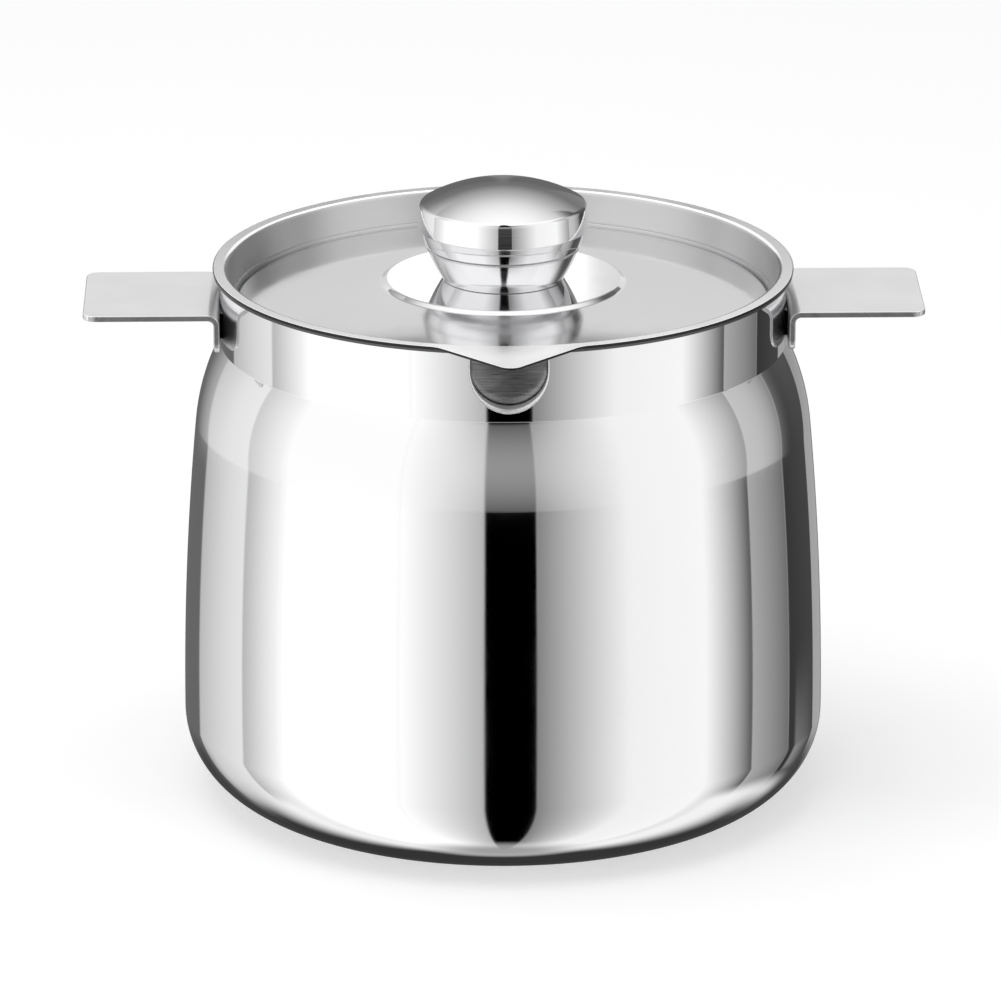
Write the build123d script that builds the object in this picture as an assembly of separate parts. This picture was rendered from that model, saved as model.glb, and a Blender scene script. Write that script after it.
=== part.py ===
from build123d import *
import os
from math import acos, asin, cos, degrees, hypot, radians, sin, sqrt

os.makedirs("parts", exist_ok=True)

# An oil pot of polished sheet steel: a pot, a strainer that hangs in its neck and a lid that sits in it.
# Millimetres. The origin is the middle of the ring that the pot stands on, +Z is up, -Y the pouring side.

# Pot, sizes of its outer surface
neck_radius = 72.4
shoulder_overhang = 6.6
wall_lean = 3.65
base_corner_radius = 22.0
wall_height = 76.8
shoulder_height = 21.6
crease_bend = 0.5
pot_sheet = 0.8
pot_rim_width = 1.7
pot_rim_bend = 0.4
sheet_edge_rounding = 0.3
standing_ring_width = 8.0
base_dish_depth = 1.2
base_dish_ramp = 3.0

# Pour hole in the neck: a half circle with straight sides above it
pour_hole_radius = 9.65
pour_hole_sill = 3.4
pour_hole_side = 3.95
pour_hole_head = 1.0
sill_depth = 3.4
sill_clearance = 0.6

# Handles: flat strips bent down along the neck
handle_width = 40.0
handle_reach = 34.6
handle_sheet = 1.5
handle_bend = 1.5
handle_leg_height = 10.8
handle_foot_gap = 1.3
handle_corner_radius = 3.5
handle_foot_radius = 4.5
weld_width = 16.0
weld_margin = 1.2

# Strainer: flange and lip, tapered wall, ring that the lid sits in, and a punched disc in the bottom
strainer_sheet = 0.7
strainer_clearance = 0.4
strainer_rim_overhang = 0.15
strainer_rim_bend = 0.5
strainer_draft = 7.0
lip_reach = 15.8
lip_half_angle = 42.5
lip_tip_radius = 3.5
lip_root_radius = 6.0
lid_seat_depth = 9.6
lid_seat_width = 2.3
lid_seat_edge = 1.7
lid_seat_bend = 0.2
cup_depth = 34.0
cup_bend = 0.5
plate_ledge_width = 5.0
plate_thickness = 0.6
plate_clearance = 0.2
plate_hole_radius = 1.5
plate_hole_pitch = 6.0
plate_border = 1.5
ring_thickness = 1.2

# Lid: shallow dome with a flat pad for the knob
lid_clearance = 0.2
lid_sheet = 0.8
lid_seat_ring = 1.7
lid_rise = 4.4
pad_radius = 31.3
pad_ramp = 1.4
pad_step = 0.9
pad_edge_rounding = 1.2

# Knob: hollow bowl and cap around a threaded boss
knob_foot_radius = 15.3
knob_mouth_radius = 21.2
knob_mouth_height = 13.3
knob_side_bulge = 0.55
knob_groove_height = 8.7
knob_seam_overhang = 0.6
knob_band_taper = 0.5
knob_band_height = 6.4
knob_dome_height = 5.8
knob_sheet = 1.0
knob_groove = 0.35
knob_shoulder_rounding = 1.4
knob_seam_rounding = 0.3
knob_edge_rounding = 0.6
cap_skirt_length = 1.6
cap_fit_clearance = 0.1
boss_radius = 4.5
boss_height = 9.0
boss_flange_radius = 9.0
boss_flange_thickness = 1.2
screw_radius = 2.0
screw_hole_clearance = 0.3
thread_clearance = 0.05
screw_end_gap = 1.0
screw_head_radius = 4.0
screw_head_height = 2.4
screw_socket_radius = 1.4
screw_socket_depth = 1.3
flat_washer_radius = 6.0
flat_washer_thickness = 0.8
spring_washer_radius = 3.7
spring_washer_thickness = 1.0
spring_washer_split = 0.8

# Heights and radii that follow from the sizes above
belly_radius = neck_radius + shoulder_overhang + wall_lean
standing_radius = belly_radius - base_corner_radius
wall_top_radius = neck_radius + shoulder_overhang
wall_top_height = base_corner_radius + wall_height
neck_foot_height = wall_top_height + shoulder_height
pour_hole_height = neck_foot_height + pour_hole_sill + pour_hole_radius
pot_rim_underside = pour_hole_height + pour_hole_side + pour_hole_head
pot_rim_height = pot_rim_underside + pot_sheet
pot_rim_radius = neck_radius + pot_rim_width
neck_inner_radius = neck_radius - pot_sheet

# The wall bulges as one arc, upright at the belly, and the shoulder's arc carries on from it to the neck
wall_sweep = (wall_lean ** 2 + wall_height ** 2) / (2 * wall_lean)
wall_centre = (belly_radius - wall_sweep, base_corner_radius)
wall_turn = asin(wall_height / wall_sweep)
shoulder_inward = shoulder_overhang * cos(wall_turn) - shoulder_height * sin(wall_turn)
shoulder_sweep = hypot(shoulder_overhang, shoulder_height) ** 2 / (2 * shoulder_inward)
shoulder_centre = (
    wall_top_radius - shoulder_sweep * cos(wall_turn),
    wall_top_height - shoulder_sweep * sin(wall_turn),
)

strainer_top = pot_rim_height + strainer_sheet
strainer_rim_radius = pot_rim_radius + strainer_rim_overhang
wall_inner_top = neck_inner_radius - strainer_clearance - strainer_sheet
seat_height = strainer_top - lid_seat_depth
cup_bottom = seat_height - cup_depth
cup_inner_bottom = wall_inner_top - strainer_draft
plate_open_radius = cup_inner_bottom - plate_ledge_width
plate_base = cup_bottom + strainer_sheet
ring_base = plate_base + plate_thickness
wall_slope = strainer_draft / (strainer_top - plate_base)

seat_corner = wall_inner_top - wall_slope * lid_seat_depth - strainer_sheet
lid_radius = seat_corner - lid_seat_bend - lid_clearance
lid_edge_top = seat_height + lid_sheet
pad_foot = lid_edge_top + lid_rise
pad_top = pad_foot + pad_step
pad_underside = pad_top - lid_sheet
screw_hole_radius = screw_radius + screw_hole_clearance
knob_seam_radius = knob_mouth_radius + knob_seam_overhang
knob_band_radius = knob_seam_radius - knob_band_taper
knob_floor = pad_top + knob_sheet
knob_mouth = pad_top + knob_mouth_height
boss_bore_end = knob_floor + boss_height - knob_sheet
spring_washer_top = pad_underside - flat_washer_thickness
screw_head_top = spring_washer_top - spring_washer_thickness


def closed_face(edges, corners=()):
    """A flat outline of radius and height, with its named corners rounded."""
    face = make_face(edges)
    for point, radius in corners:
        face = fillet(face.vertices().sort_by_distance(Vector(*point))[0], radius)
    return face


def turned(edges, corners=()):
    """A closed outline turned about the pot's axis."""
    return revolve(Plane.XZ * closed_face(edges, corners), Axis.Z)


def runs(*points):
    """Straight edges from point to point."""
    return [Line(start, end) for start, end in zip(points, points[1:])]


def tube(outer, inner, low, high):
    """A plain ring, or a disc where the inner radius is nothing."""
    outline = [(inner, low), (outer, low), (outer, high), (inner, high), (inner, low)]
    return turned(runs(*outline))


def neck_foot(inset):
    """Where the shoulder meets the neck on the surface that lies the inset below the outer one."""
    across = neck_radius - inset - shoulder_centre[0]
    return acos(across / (shoulder_sweep - inset))


def pot_surface(inset):
    """Base corner, wall and shoulder as three arcs, set in from the outer surface."""
    foot = degrees(neck_foot(inset))
    turn = degrees(wall_turn)
    return [
        CenterArc((standing_radius, base_corner_radius), base_corner_radius - inset, -90, 90),
        CenterArc(wall_centre, wall_sweep - inset, 0, turn),
        CenterArc(shoulder_centre, shoulder_sweep - inset, turn, foot - turn),
    ]


def neck_foot_point(inset):
    """The end of the shoulder's arc as radius and height."""
    height = shoulder_centre[1] + (shoulder_sweep - inset) * sin(neck_foot(inset))
    return (neck_radius - inset, height)


def base_line(lift):
    """The dished base as points from the ring it stands on to the axis, lifted from the underside."""
    ring_inner = standing_radius - standing_ring_width
    return [
        (standing_radius, lift),
        (ring_inner, lift),
        (ring_inner - base_dish_ramp, base_dish_depth + lift),
        (0, base_dish_depth + lift),
    ]


def pot_shell():
    """The spun shell with its out-turned rim, before the pour hole is cut."""
    outer_foot = neck_foot_point(0)
    inner_foot = neck_foot_point(pot_sheet)
    rim_line = [
        outer_foot,
        (neck_radius, pot_rim_underside),
        (pot_rim_radius, pot_rim_underside),
        (pot_rim_radius, pot_rim_height),
        (neck_inner_radius, pot_rim_height),
        inner_foot,
    ]
    outside = base_line(0)
    inside = base_line(pot_sheet)
    edges = runs(*outside) + pot_surface(0) + runs(*rim_line) + pot_surface(pot_sheet)
    edges += runs(*inside) + [Line(inside[-1], outside[-1])]
    corners = [
        (outer_foot, crease_bend),
        (inner_foot, crease_bend + pot_sheet),
        (rim_line[1], pot_rim_bend),
        (rim_line[2], sheet_edge_rounding),
        (rim_line[3], sheet_edge_rounding),
        (rim_line[4], pot_rim_bend + pot_sheet),
    ]
    return turned(edges, corners)


def pour_hole_face(growth=0.0):
    """The U-shaped outline of the pour hole, seen from the front."""
    half = pour_hole_radius + growth
    top = pour_hole_side
    edges = [
        CenterArc((0, 0), half, 180, 180),
        *runs((half, 0), (half, top), (-half, top), (-half, 0)),
    ]
    return Plane.XZ * Pos(0, pour_hole_height) * make_face(edges)


def wall_radius(height):
    """Inner radius of the strainer's tapered wall at a height."""
    return wall_inner_top - wall_slope * (strainer_top - height)


def pour_sill():
    """The lower edge of the pour hole turned in as a half-round sill, kept clear of the strainer."""
    room = neck_radius + sill_depth
    ring = extrude(pour_hole_face(pot_sheet), room) - extrude(pour_hole_face(), room)
    ring &= Pos(0, 0, pour_hole_height - room) * Box(2 * room, 2 * room, 2 * room)
    gap = strainer_sheet + sill_clearance
    low = neck_foot_height - crease_bend
    keep_out = [
        (0, low),
        (wall_radius(low) + gap, low),
        (wall_radius(strainer_top) + gap, strainer_top),
        (0, strainer_top),
        (0, low),
    ]
    inside_neck = tube(neck_radius - pot_sheet / 2, neck_radius - sill_depth, low, pot_rim_height)
    return (ring & inside_neck) - turned(runs(*keep_out))


def pot_body():
    """The pot, with the pour hole through the front of its neck."""
    return pot_shell() - extrude(pour_hole_face(), 2 * neck_radius) + pour_sill()


def right_handle():
    """A strip with its leg welded upright on the neck and its tab level, pointing outwards along +X."""
    foot = neck_foot_height + handle_foot_gap
    tab_top = foot + handle_leg_height
    tab_end = neck_radius + handle_reach
    leg_outside = neck_radius + handle_sheet
    tab_underside = tab_top - handle_sheet
    outline = [
        (neck_radius, foot),
        (leg_outside, foot),
        (leg_outside, tab_underside),
        (tab_end, tab_underside),
        (tab_end, tab_top),
        (neck_radius, tab_top),
        (neck_radius, foot),
    ]
    outer_bend = handle_bend + handle_sheet
    bends = [(outline[2], handle_bend), (outline[5], outer_bend)]
    strip = extrude(Plane.XZ * closed_face(runs(*outline), bends), handle_width / 2, both=True)
    strip = fillet(strip.edges().filter_by(Axis.Z).sort_by(Axis.X)[-2:], handle_corner_radius)
    strip = fillet(strip.edges().filter_by(Axis.X).sort_by(Axis.Z)[:2], handle_foot_radius)
    sagitta = neck_radius - sqrt(neck_radius ** 2 - (weld_width / 2) ** 2)
    weld_low = foot + weld_margin
    weld_high = tab_top - outer_bend
    weld = Box(sagitta, weld_width, weld_high - weld_low, align=(Align.MAX, Align.CENTER, Align.MIN))
    neck = Cylinder(neck_radius, pot_rim_height, align=(Align.CENTER, Align.CENTER, Align.MIN))
    return strip + (Pos(neck_radius, 0, weld_low) * weld - neck)


def strainer_shell():
    """The strainer as a turned sheet: rim flange, tapered wall and the flange inside its bottom."""
    sheet = strainer_sheet
    outside = [
        (strainer_rim_radius, strainer_top),
        (strainer_rim_radius, pot_rim_height),
        (wall_inner_top + sheet, pot_rim_height),
        (cup_inner_bottom + sheet, cup_bottom),
        (plate_open_radius, cup_bottom),
    ]
    inside = [
        (plate_open_radius, plate_base),
        (cup_inner_bottom, plate_base),
        (wall_inner_top, strainer_top),
    ]
    corners = [
        (outside[0], sheet_edge_rounding),
        (outside[1], sheet_edge_rounding),
        (outside[2], strainer_rim_bend),
        (outside[3], cup_bend + sheet),
        (inside[1], cup_bend),
        (inside[2], strainer_rim_bend + sheet),
    ]
    return turned(runs(*outside, *inside, outside[0]), corners)


def strainer_lip():
    """The V-shaped lip of the flange, level, pointing to the pouring side."""
    apex = strainer_rim_radius + lip_reach
    tip_cut = lip_tip_radius / sin(radians(lip_half_angle)) - lip_tip_radius
    sharp = apex + tip_cut
    back = strainer_rim_radius * cos(radians(lip_half_angle))
    half = (sharp - back) * sin(radians(lip_half_angle)) / cos(radians(lip_half_angle))
    triangle = make_face(runs((0, -sharp), (half, -back), (-half, -back), (0, -sharp)))
    triangle = fillet(triangle.vertices().sort_by(Axis.Y)[0], lip_tip_radius)
    plan = Circle(strainer_rim_radius) + triangle
    roots = plan.vertices().filter_by(lambda v: abs(hypot(v.X, v.Y) - strainer_rim_radius) < 1e-3)
    roots = roots.filter_by(lambda v: v.Y < -back)
    plan = fillet(roots, lip_root_radius)
    lip = extrude(Pos(0, 0, pot_rim_height) * plan, strainer_sheet)
    return lip - tube(strainer_rim_radius - 2 * sheet_edge_rounding, 0, 0, strainer_top + 1)


def lid_seat():
    """A bent ring wedged in the tapered wall: a ledge for the lid with an upright edge along the wall."""
    ledge_low = seat_height - strainer_sheet
    edge_top = seat_height + lid_seat_edge
    ledge_inner = seat_corner - lid_seat_width
    outline = [
        (wall_radius(edge_top), edge_top),
        (wall_radius(edge_top) - strainer_sheet, edge_top),
        (seat_corner, seat_height),
        (ledge_inner, seat_height),
        (ledge_inner, ledge_low),
        (wall_radius(ledge_low), ledge_low),
    ]
    corners = [
        (outline[1], sheet_edge_rounding),
        (outline[2], lid_seat_bend),
        (outline[3], sheet_edge_rounding),
        (outline[5], lid_seat_bend + strainer_sheet),
    ]
    return turned(runs(*outline, outline[0]), corners)


def strainer_plate():
    """A disc punched with rings of round holes, six more in each ring than in the one inside it."""
    radius = cup_inner_bottom - cup_bend - plate_clearance
    field = plate_open_radius - plate_border - plate_hole_radius
    middles = [Location((0, 0, 0))]
    for ring in range(1, int(field / plate_hole_pitch) + 1):
        middles += PolarLocations(ring * plate_hole_pitch, 6 * ring).locations
    holes = [Wire.make_circle(plate_hole_radius, Plane(middle)) for middle in middles]
    disc = Face(Wire.make_circle(radius), holes)
    return extrude(Pos(0, 0, plate_base) * disc, plate_thickness)


def strainer_ring():
    """A flat ring that lies on the disc's rim and holds it down."""
    radius = cup_inner_bottom - cup_bend - plate_clearance
    return tube(radius, plate_open_radius, ring_base, ring_base + ring_thickness)


def dome_centre_height():
    """Height on the axis from which the lid's dome is struck."""
    across = lid_radius ** 2 - pad_radius ** 2 + lid_edge_top ** 2 - pad_foot ** 2
    return across / (2 * (lid_edge_top - pad_foot))


def dome_arc(start_radius, end_radius, drop):
    """A stretch of the lid's dome, dropped square to its upper surface, from one radius to another."""
    centre = dome_centre_height()
    sweep = hypot(lid_radius, lid_edge_top - centre) - drop
    start = degrees(acos(start_radius / sweep))
    end = degrees(acos(end_radius / sweep))
    return CenterArc((0, centre), sweep, start, end - start)


def lid_disc():
    """The domed lid, flat under its edge where it sits on the ledge, with the pad and the screw hole."""
    upper = dome_arc(lid_radius, pad_radius, 0)
    seat_inner = lid_radius - lid_seat_ring
    lower = dome_arc(seat_inner, pad_radius, lid_sheet)
    upper_foot = (pad_radius, (upper @ 1).Y)
    lower_foot = (pad_radius, (lower @ 1).Y)
    upper_pad = (pad_radius - pad_ramp, pad_top)
    lower_pad = (pad_radius - pad_ramp, pad_underside)
    edge = (lid_radius, lid_edge_top)
    edges = [
        upper,
        *runs(upper_foot, upper_pad, (screw_hole_radius, pad_top), (screw_hole_radius, pad_underside)),
        *runs((screw_hole_radius, pad_underside), lower_pad, lower_foot),
        lower,
        *runs((seat_inner, (lower @ 0).Y), (seat_inner, seat_height), (lid_radius, seat_height), edge),
    ]
    corners = [
        (edge, sheet_edge_rounding),
        (upper_foot, pad_edge_rounding),
        (upper_pad, pad_edge_rounding),
    ]
    return turned(edges, corners)


def bowl_sweep():
    """Radius of the arc that the knob's flared side follows from foot to mouth."""
    chord = hypot(knob_mouth_radius - knob_foot_radius, knob_mouth_height)
    return (chord ** 2 / 4 + knob_side_bulge ** 2) / (2 * knob_side_bulge)


def bowl_centre():
    """Centre of that arc as radius and height, on the inner side of the flare."""
    across = knob_mouth_radius - knob_foot_radius
    chord = hypot(across, knob_mouth_height)
    back = bowl_sweep() - knob_side_bulge
    middle = (knob_foot_radius + across / 2, pad_top + knob_mouth_height / 2)
    return (middle[0] - back * knob_mouth_height / chord, middle[1] + back * across / chord)


def bowl_radius(height, inset):
    """Radius of the knob's flared side at a height, on the surface set in from the outside."""
    across, up = bowl_centre()
    return across + sqrt((bowl_sweep() - inset) ** 2 - (height - up) ** 2)


def bowl_arc(low, high, inset):
    """The flared side between two heights."""
    across, up = bowl_centre()
    sweep = bowl_sweep() - inset
    start = degrees(asin((low - up) / sweep))
    end = degrees(asin((high - up) / sweep))
    return CenterArc((across, up), sweep, start, end - start)


def knob_bowl():
    """The knob's lower half: a flared cup with a turned groove and a screw hole in its floor."""
    foot = (bowl_radius(pad_top, 0), pad_top)
    edges = [
        *runs((screw_hole_radius, pad_top), foot),
        bowl_arc(pad_top, knob_mouth, 0),
        *runs((bowl_radius(knob_mouth, 0), knob_mouth), (bowl_radius(knob_mouth, knob_sheet), knob_mouth)),
        bowl_arc(knob_floor, knob_mouth, knob_sheet),
        *runs((bowl_radius(knob_floor, knob_sheet), knob_floor), (screw_hole_radius, knob_floor)),
        *runs((screw_hole_radius, knob_floor), (screw_hole_radius, pad_top)),
    ]
    bowl = turned(edges, [(foot, knob_edge_rounding)])
    waist = pad_top + knob_groove_height
    groove_bottom = bowl_radius(waist, knob_groove)
    groove = tube(knob_seam_radius, groove_bottom, waist - knob_groove, waist + knob_groove)
    return bowl - groove


def knob_cap():
    """The knob's domed upper half: a tapered band and a skirt that plugs into the bowl."""
    band_top = knob_mouth + knob_band_height
    top = band_top + knob_dome_height
    sweep = (knob_band_radius ** 2 + knob_dome_height ** 2) / (2 * knob_dome_height)
    centre = top - sweep
    band_inner = knob_band_radius - knob_sheet
    outer_turn = degrees(acos(knob_band_radius / sweep))
    inner_turn = degrees(acos(band_inner / (sweep - knob_sheet)))
    inner_shoulder = centre + sqrt((sweep - knob_sheet) ** 2 - band_inner ** 2)
    skirt_low = knob_mouth - cap_skirt_length
    skirt_outer = bowl_radius(skirt_low, knob_sheet) - cap_fit_clearance
    skirt_inner = skirt_outer - knob_sheet
    web = knob_mouth + knob_sheet
    edges = [
        *runs((skirt_outer, skirt_low), (skirt_outer, knob_mouth)),
        *runs((skirt_outer, knob_mouth), (knob_seam_radius, knob_mouth), (knob_band_radius, band_top)),
        CenterArc((0, centre), sweep, outer_turn, 90 - outer_turn),
        Line((0, top), (0, top - knob_sheet)),
        CenterArc((0, centre), sweep - knob_sheet, inner_turn, 90 - inner_turn),
        *runs((band_inner, inner_shoulder), (knob_seam_radius - knob_sheet, web)),
        *runs((knob_seam_radius - knob_sheet, web), (skirt_inner, web), (skirt_inner, skirt_low)),
        Line((skirt_inner, skirt_low), (skirt_outer, skirt_low)),
    ]
    corners = [
        ((knob_seam_radius, knob_mouth), knob_seam_rounding),
        ((knob_band_radius, band_top), knob_shoulder_rounding),
    ]
    return turned(edges, corners)


def knob_insert():
    """The threaded boss that stands on the bowl's floor, bored from below."""
    boss = tube(boss_radius, 0, knob_floor, knob_floor + boss_height)
    flange = tube(boss_flange_radius, 0, knob_floor, knob_floor + boss_flange_thickness)
    bore = tube(screw_radius + thread_clearance, 0, knob_floor, boss_bore_end)
    return boss + flange - bore


def knob_screw():
    """The screw that comes up through the lid, with a six-sided socket in its head."""
    head_low = screw_head_top - screw_head_height
    shank = tube(screw_radius, 0, head_low, boss_bore_end - screw_end_gap)
    head = tube(screw_head_radius, 0, head_low, screw_head_top)
    socket = extrude(Pos(0, 0, head_low) * RegularPolygon(screw_socket_radius, 6), screw_socket_depth)
    return shank + head - socket


def spring_washer():
    """A split ring under the flat washer."""
    ring = tube(spring_washer_radius, screw_hole_radius, screw_head_top, spring_washer_top)
    split = Box(2 * spring_washer_radius, spring_washer_split, 2 * spring_washer_top)
    return ring - Pos(spring_washer_radius, 0, 0) * split


pieces = {
    "pot_body": pot_body(),
    "right_handle": right_handle(),
    "left_handle": mirror(right_handle(), Plane.YZ),
    "strainer_basket": strainer_shell() + strainer_lip(),
    "lid_seat": lid_seat(),
    "strainer_plate": strainer_plate(),
    "strainer_ring": strainer_ring(),
    "lid_disc": lid_disc(),
    "knob_bowl": knob_bowl(),
    "knob_cap": knob_cap(),
    "knob_insert": knob_insert(),
    "knob_screw": knob_screw(),
    "flat_washer": tube(flat_washer_radius, screw_hole_radius, spring_washer_top, pad_underside),
    "spring_washer": spring_washer(),
}

for node, solid in pieces.items():
    export_step(solid, f"parts/{node}.step")
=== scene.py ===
"""Dresses the steel oil pot with its strainer, lid and knob, and sets up its floor, light and camera."""
from math import acos, asin, atan2, ceil, cos, hypot, pi, radians, sin, sqrt, tan

import bpy
import numpy as np
from bpy.props import FloatProperty, FloatVectorProperty, IntProperty, PointerProperty
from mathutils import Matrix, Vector


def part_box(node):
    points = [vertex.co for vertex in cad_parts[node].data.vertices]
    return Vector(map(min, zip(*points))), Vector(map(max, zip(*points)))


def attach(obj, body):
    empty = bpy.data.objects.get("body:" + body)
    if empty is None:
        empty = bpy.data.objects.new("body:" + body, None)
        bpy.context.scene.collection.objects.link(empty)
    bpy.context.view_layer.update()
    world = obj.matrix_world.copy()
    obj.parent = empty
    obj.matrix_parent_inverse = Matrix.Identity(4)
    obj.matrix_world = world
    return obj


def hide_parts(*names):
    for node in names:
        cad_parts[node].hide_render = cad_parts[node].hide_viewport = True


bl_info = {
    "name": "Oil pot",
    "version": (1, 0, 0),
    "blender": (4, 5, 0),
    "location": "3D View > Sidebar > Oil pot",
    "description": "Builds the surfaces, finishes and studio of a steel oil pot with a strainer and a lid",
    "category": "Object",
}

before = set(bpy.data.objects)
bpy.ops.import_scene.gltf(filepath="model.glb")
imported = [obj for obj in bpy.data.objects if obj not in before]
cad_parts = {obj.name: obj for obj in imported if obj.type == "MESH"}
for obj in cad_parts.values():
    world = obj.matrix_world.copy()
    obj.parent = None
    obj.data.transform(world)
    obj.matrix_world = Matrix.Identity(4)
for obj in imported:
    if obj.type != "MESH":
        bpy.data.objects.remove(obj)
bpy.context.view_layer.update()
pot_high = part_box("pot_body")[1]
strainer_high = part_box("strainer_basket")[1]
lid_low, lid_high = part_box("lid_disc")
bowl_low, bowl_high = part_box("knob_bowl")
handle_low, handle_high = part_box("right_handle")

WHITE = (1, 1, 1, 1)
# How much more blue than red a neutral steel has
COOL = 1.008
# Points that are nearer than this are one, in metres
SAME_PLACE = 1e-7
# Largest steps along an outline: in rounded corners, in other bends, and in the broad arcs
CORNER_STEP = radians(5)
BEND_STEP = radians(2.5)
WALL_STEP = radians(0.25)
SHOULDER_STEP = radians(1)
LID_STEP = radians(0.2)
BOWL_STEP = radians(0.7)
DOME_STEP = radians(0.8)
HOLLOW_STEP = radians(2)
# Columns round the axis, on the pot those beside the steps of its pour hole
POT_COLUMNS = 236
HOLE_STEPS = 32
LID_COLUMNS = 240
KNOB_COLUMNS = 192
# Steps along the lip's tip, its straight flank, the flank's root and the round flange, on one side
TIP_STEPS, FLANK_STEPS, ROOT_STEPS, FLANGE_STEPS = 14, 7, 12, 110
# Steps across a rounded edge of the pour hole, of the strainer's flange and of a handle
HOLE_EDGE_STEPS, FLANGE_EDGE_STEPS, STRIP_EDGE_STEPS = 5, 6, 4
# Steps of a handle: round its corners, along its bend and across its weld pad
STRIP_CORNER_STEPS, STRIP_BEND_STEPS, WELD_STEPS = 10, 24, 12
# Straight runs that are left beside a bend: at the strainer's flange and at the lid's seat, in metres
FLANGE_RUN = 0.0001
SEAT_RUN = 0.0002
# Where the knob's dome starts, in radii of its shoulder
DOME_START = 1.2
# A face counts as level, as a strip's side or as a flange's top from this much of its normal on
LEVEL_FACING = 0.99
SIDE_FACING = 0.8
TOP_FACING = 0.85
# Depths in metres of the slow waves and fine rings in polished sheet and of the grain in the other finishes
POT_WAVES = 0.00006
SMALL_WAVES = 0.00001
POLISH_RINGS = 0.0000012
RUBBED_GRAIN = 0.000001
OUTSIDE_GRAIN = 0.000016
DISC_GRAIN = 0.000006
STRIP_GRAIN = 0.000004
CUT_GRAIN = 0.000004
LATHE_GRAIN = 0.000004
# How much lighter and darker brushed sheet is from place to place
OUTSIDE_CONTRAST = 0.55
DISC_CONTRAST = 0.05
# Turn of the long shine against the tangent round the axis, in whole turns
SHINE_TURN = 0.25


def length(name, description, default):
    """A size in metres that a user may change."""
    return FloatProperty(name=name, description=description, default=default, unit="LENGTH", precision=5)


def grey(name, description, level):
    """A neutral metal colour that a user may change."""
    return FloatVectorProperty(name=name, description=description, default=(level, level, level * COOL),
                               subtype="COLOR", size=3, min=0.0, max=1.0)


def share(name, description, default):
    """A plain number from nothing to one."""
    return FloatProperty(name=name, description=description, default=default, min=0.0, max=1.0,
                         subtype="FACTOR")


def number(name, description, default):
    """A plain number in the unit that its description gives."""
    return FloatProperty(name=name, description=description, default=default)


def angle(name, description, degrees):
    """An angle that a user may change."""
    return FloatProperty(name=name, description=description, default=radians(degrees), subtype="ANGLE")


class OilPotPotSizes(bpy.types.PropertyGroup):
    """Sizes of the pot's sheet and its pour hole"""
    belly_radius: length("Belly radius", "Radius of the pot where it is widest", pot_high.x)
    neck_radius: length("Neck radius", "Outer radius of the upright neck", 0.0724)
    shoulder_overhang: length("Shoulder overhang", "How far the wall's top stands out from the neck", 0.0066)
    base_corner: length("Base corner", "Radius of the corner between base and wall", 0.022)
    wall_height: length("Wall height", "Height of the tapered wall above the base corner", 0.0768)
    shoulder_height: length("Shoulder height", "Height of the shoulder's arc", 0.0216)
    crease_bend: length("Crease bend", "Inside radius of the crease between shoulder and neck", 0.0005)
    sheet: length("Sheet", "Thickness of the pot's sheet", 0.0008)
    rim_height: length("Rim height", "Height of the top of the pot's rim", pot_high.z)
    rim_width: length("Rim width", "How far the rim turns out", 0.0017)
    rim_bend: length("Rim bend", "Inside radius of the rim's bend", 0.0004)
    edge_rounding: length("Edge rounding", "Rounding of the sheet's cut edges", 0.0003)
    ring_width: length("Standing ring", "Width of the ring that the pot stands on", 0.008)
    dish_depth: length("Base dish", "Depth of the dish inside the standing ring", 0.0012)
    dish_ramp: length("Dish ramp", "Width of the ramp into the dish", 0.003)
    dish_rounding: length("Dish rounding", "Radius of the bends of the dish", 0.0025)
    hole_radius: length("Hole radius", "Radius of the pour hole's lower half", 0.00965)
    hole_height: length("Hole height", "Height of the middle of that half circle", 0.13345)
    hole_side: length("Hole side", "Height of the straight sides above it", 0.00395)
    hole_rounding: length("Hole rounding", "Rounding of the pour hole's outer edge at its sides", 0.0004)
    hole_bead: length("Hole bead", "How much fuller that rounding is at the bottom", 0.0009)
    sill_depth: length("Sill depth", "How far the lower edge is turned in at most", 0.0034)
    sill_room: length("Sill room", "Room that the sill leaves beside the strainer's wall", 0.0013)
    sill_fade: length("Sill fade", "Height over which the sill runs out at the hole's sides", 0.0022)
    sill_start: length("Sill start", "Depth over which the sill takes on its full rounding", 0.0006)


class OilPotHandleSizes(bpy.types.PropertyGroup):
    """Sizes of the two handle strips"""
    width: length("Width", "Width of the strip", 2 * handle_high.y)
    sheet: length("Sheet", "Thickness of the strip", 0.0015)
    bend: length("Bend", "Inside radius of the strip's bend", 0.0015)
    corner: length("Corner", "Radius of the tab's outer corners", 0.0035)
    foot_corner: length("Foot corner", "Radius of the corners at the leg's lower end", 0.0045)
    edge: length("Edge", "Rounding of the strip's edges", 0.00035)
    weld_width: length("Weld width", "Width of the weld pad behind the leg", 0.016)
    weld_margin: length("Weld margin", "Height of the weld pad above the leg's foot", 0.0012)


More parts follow.
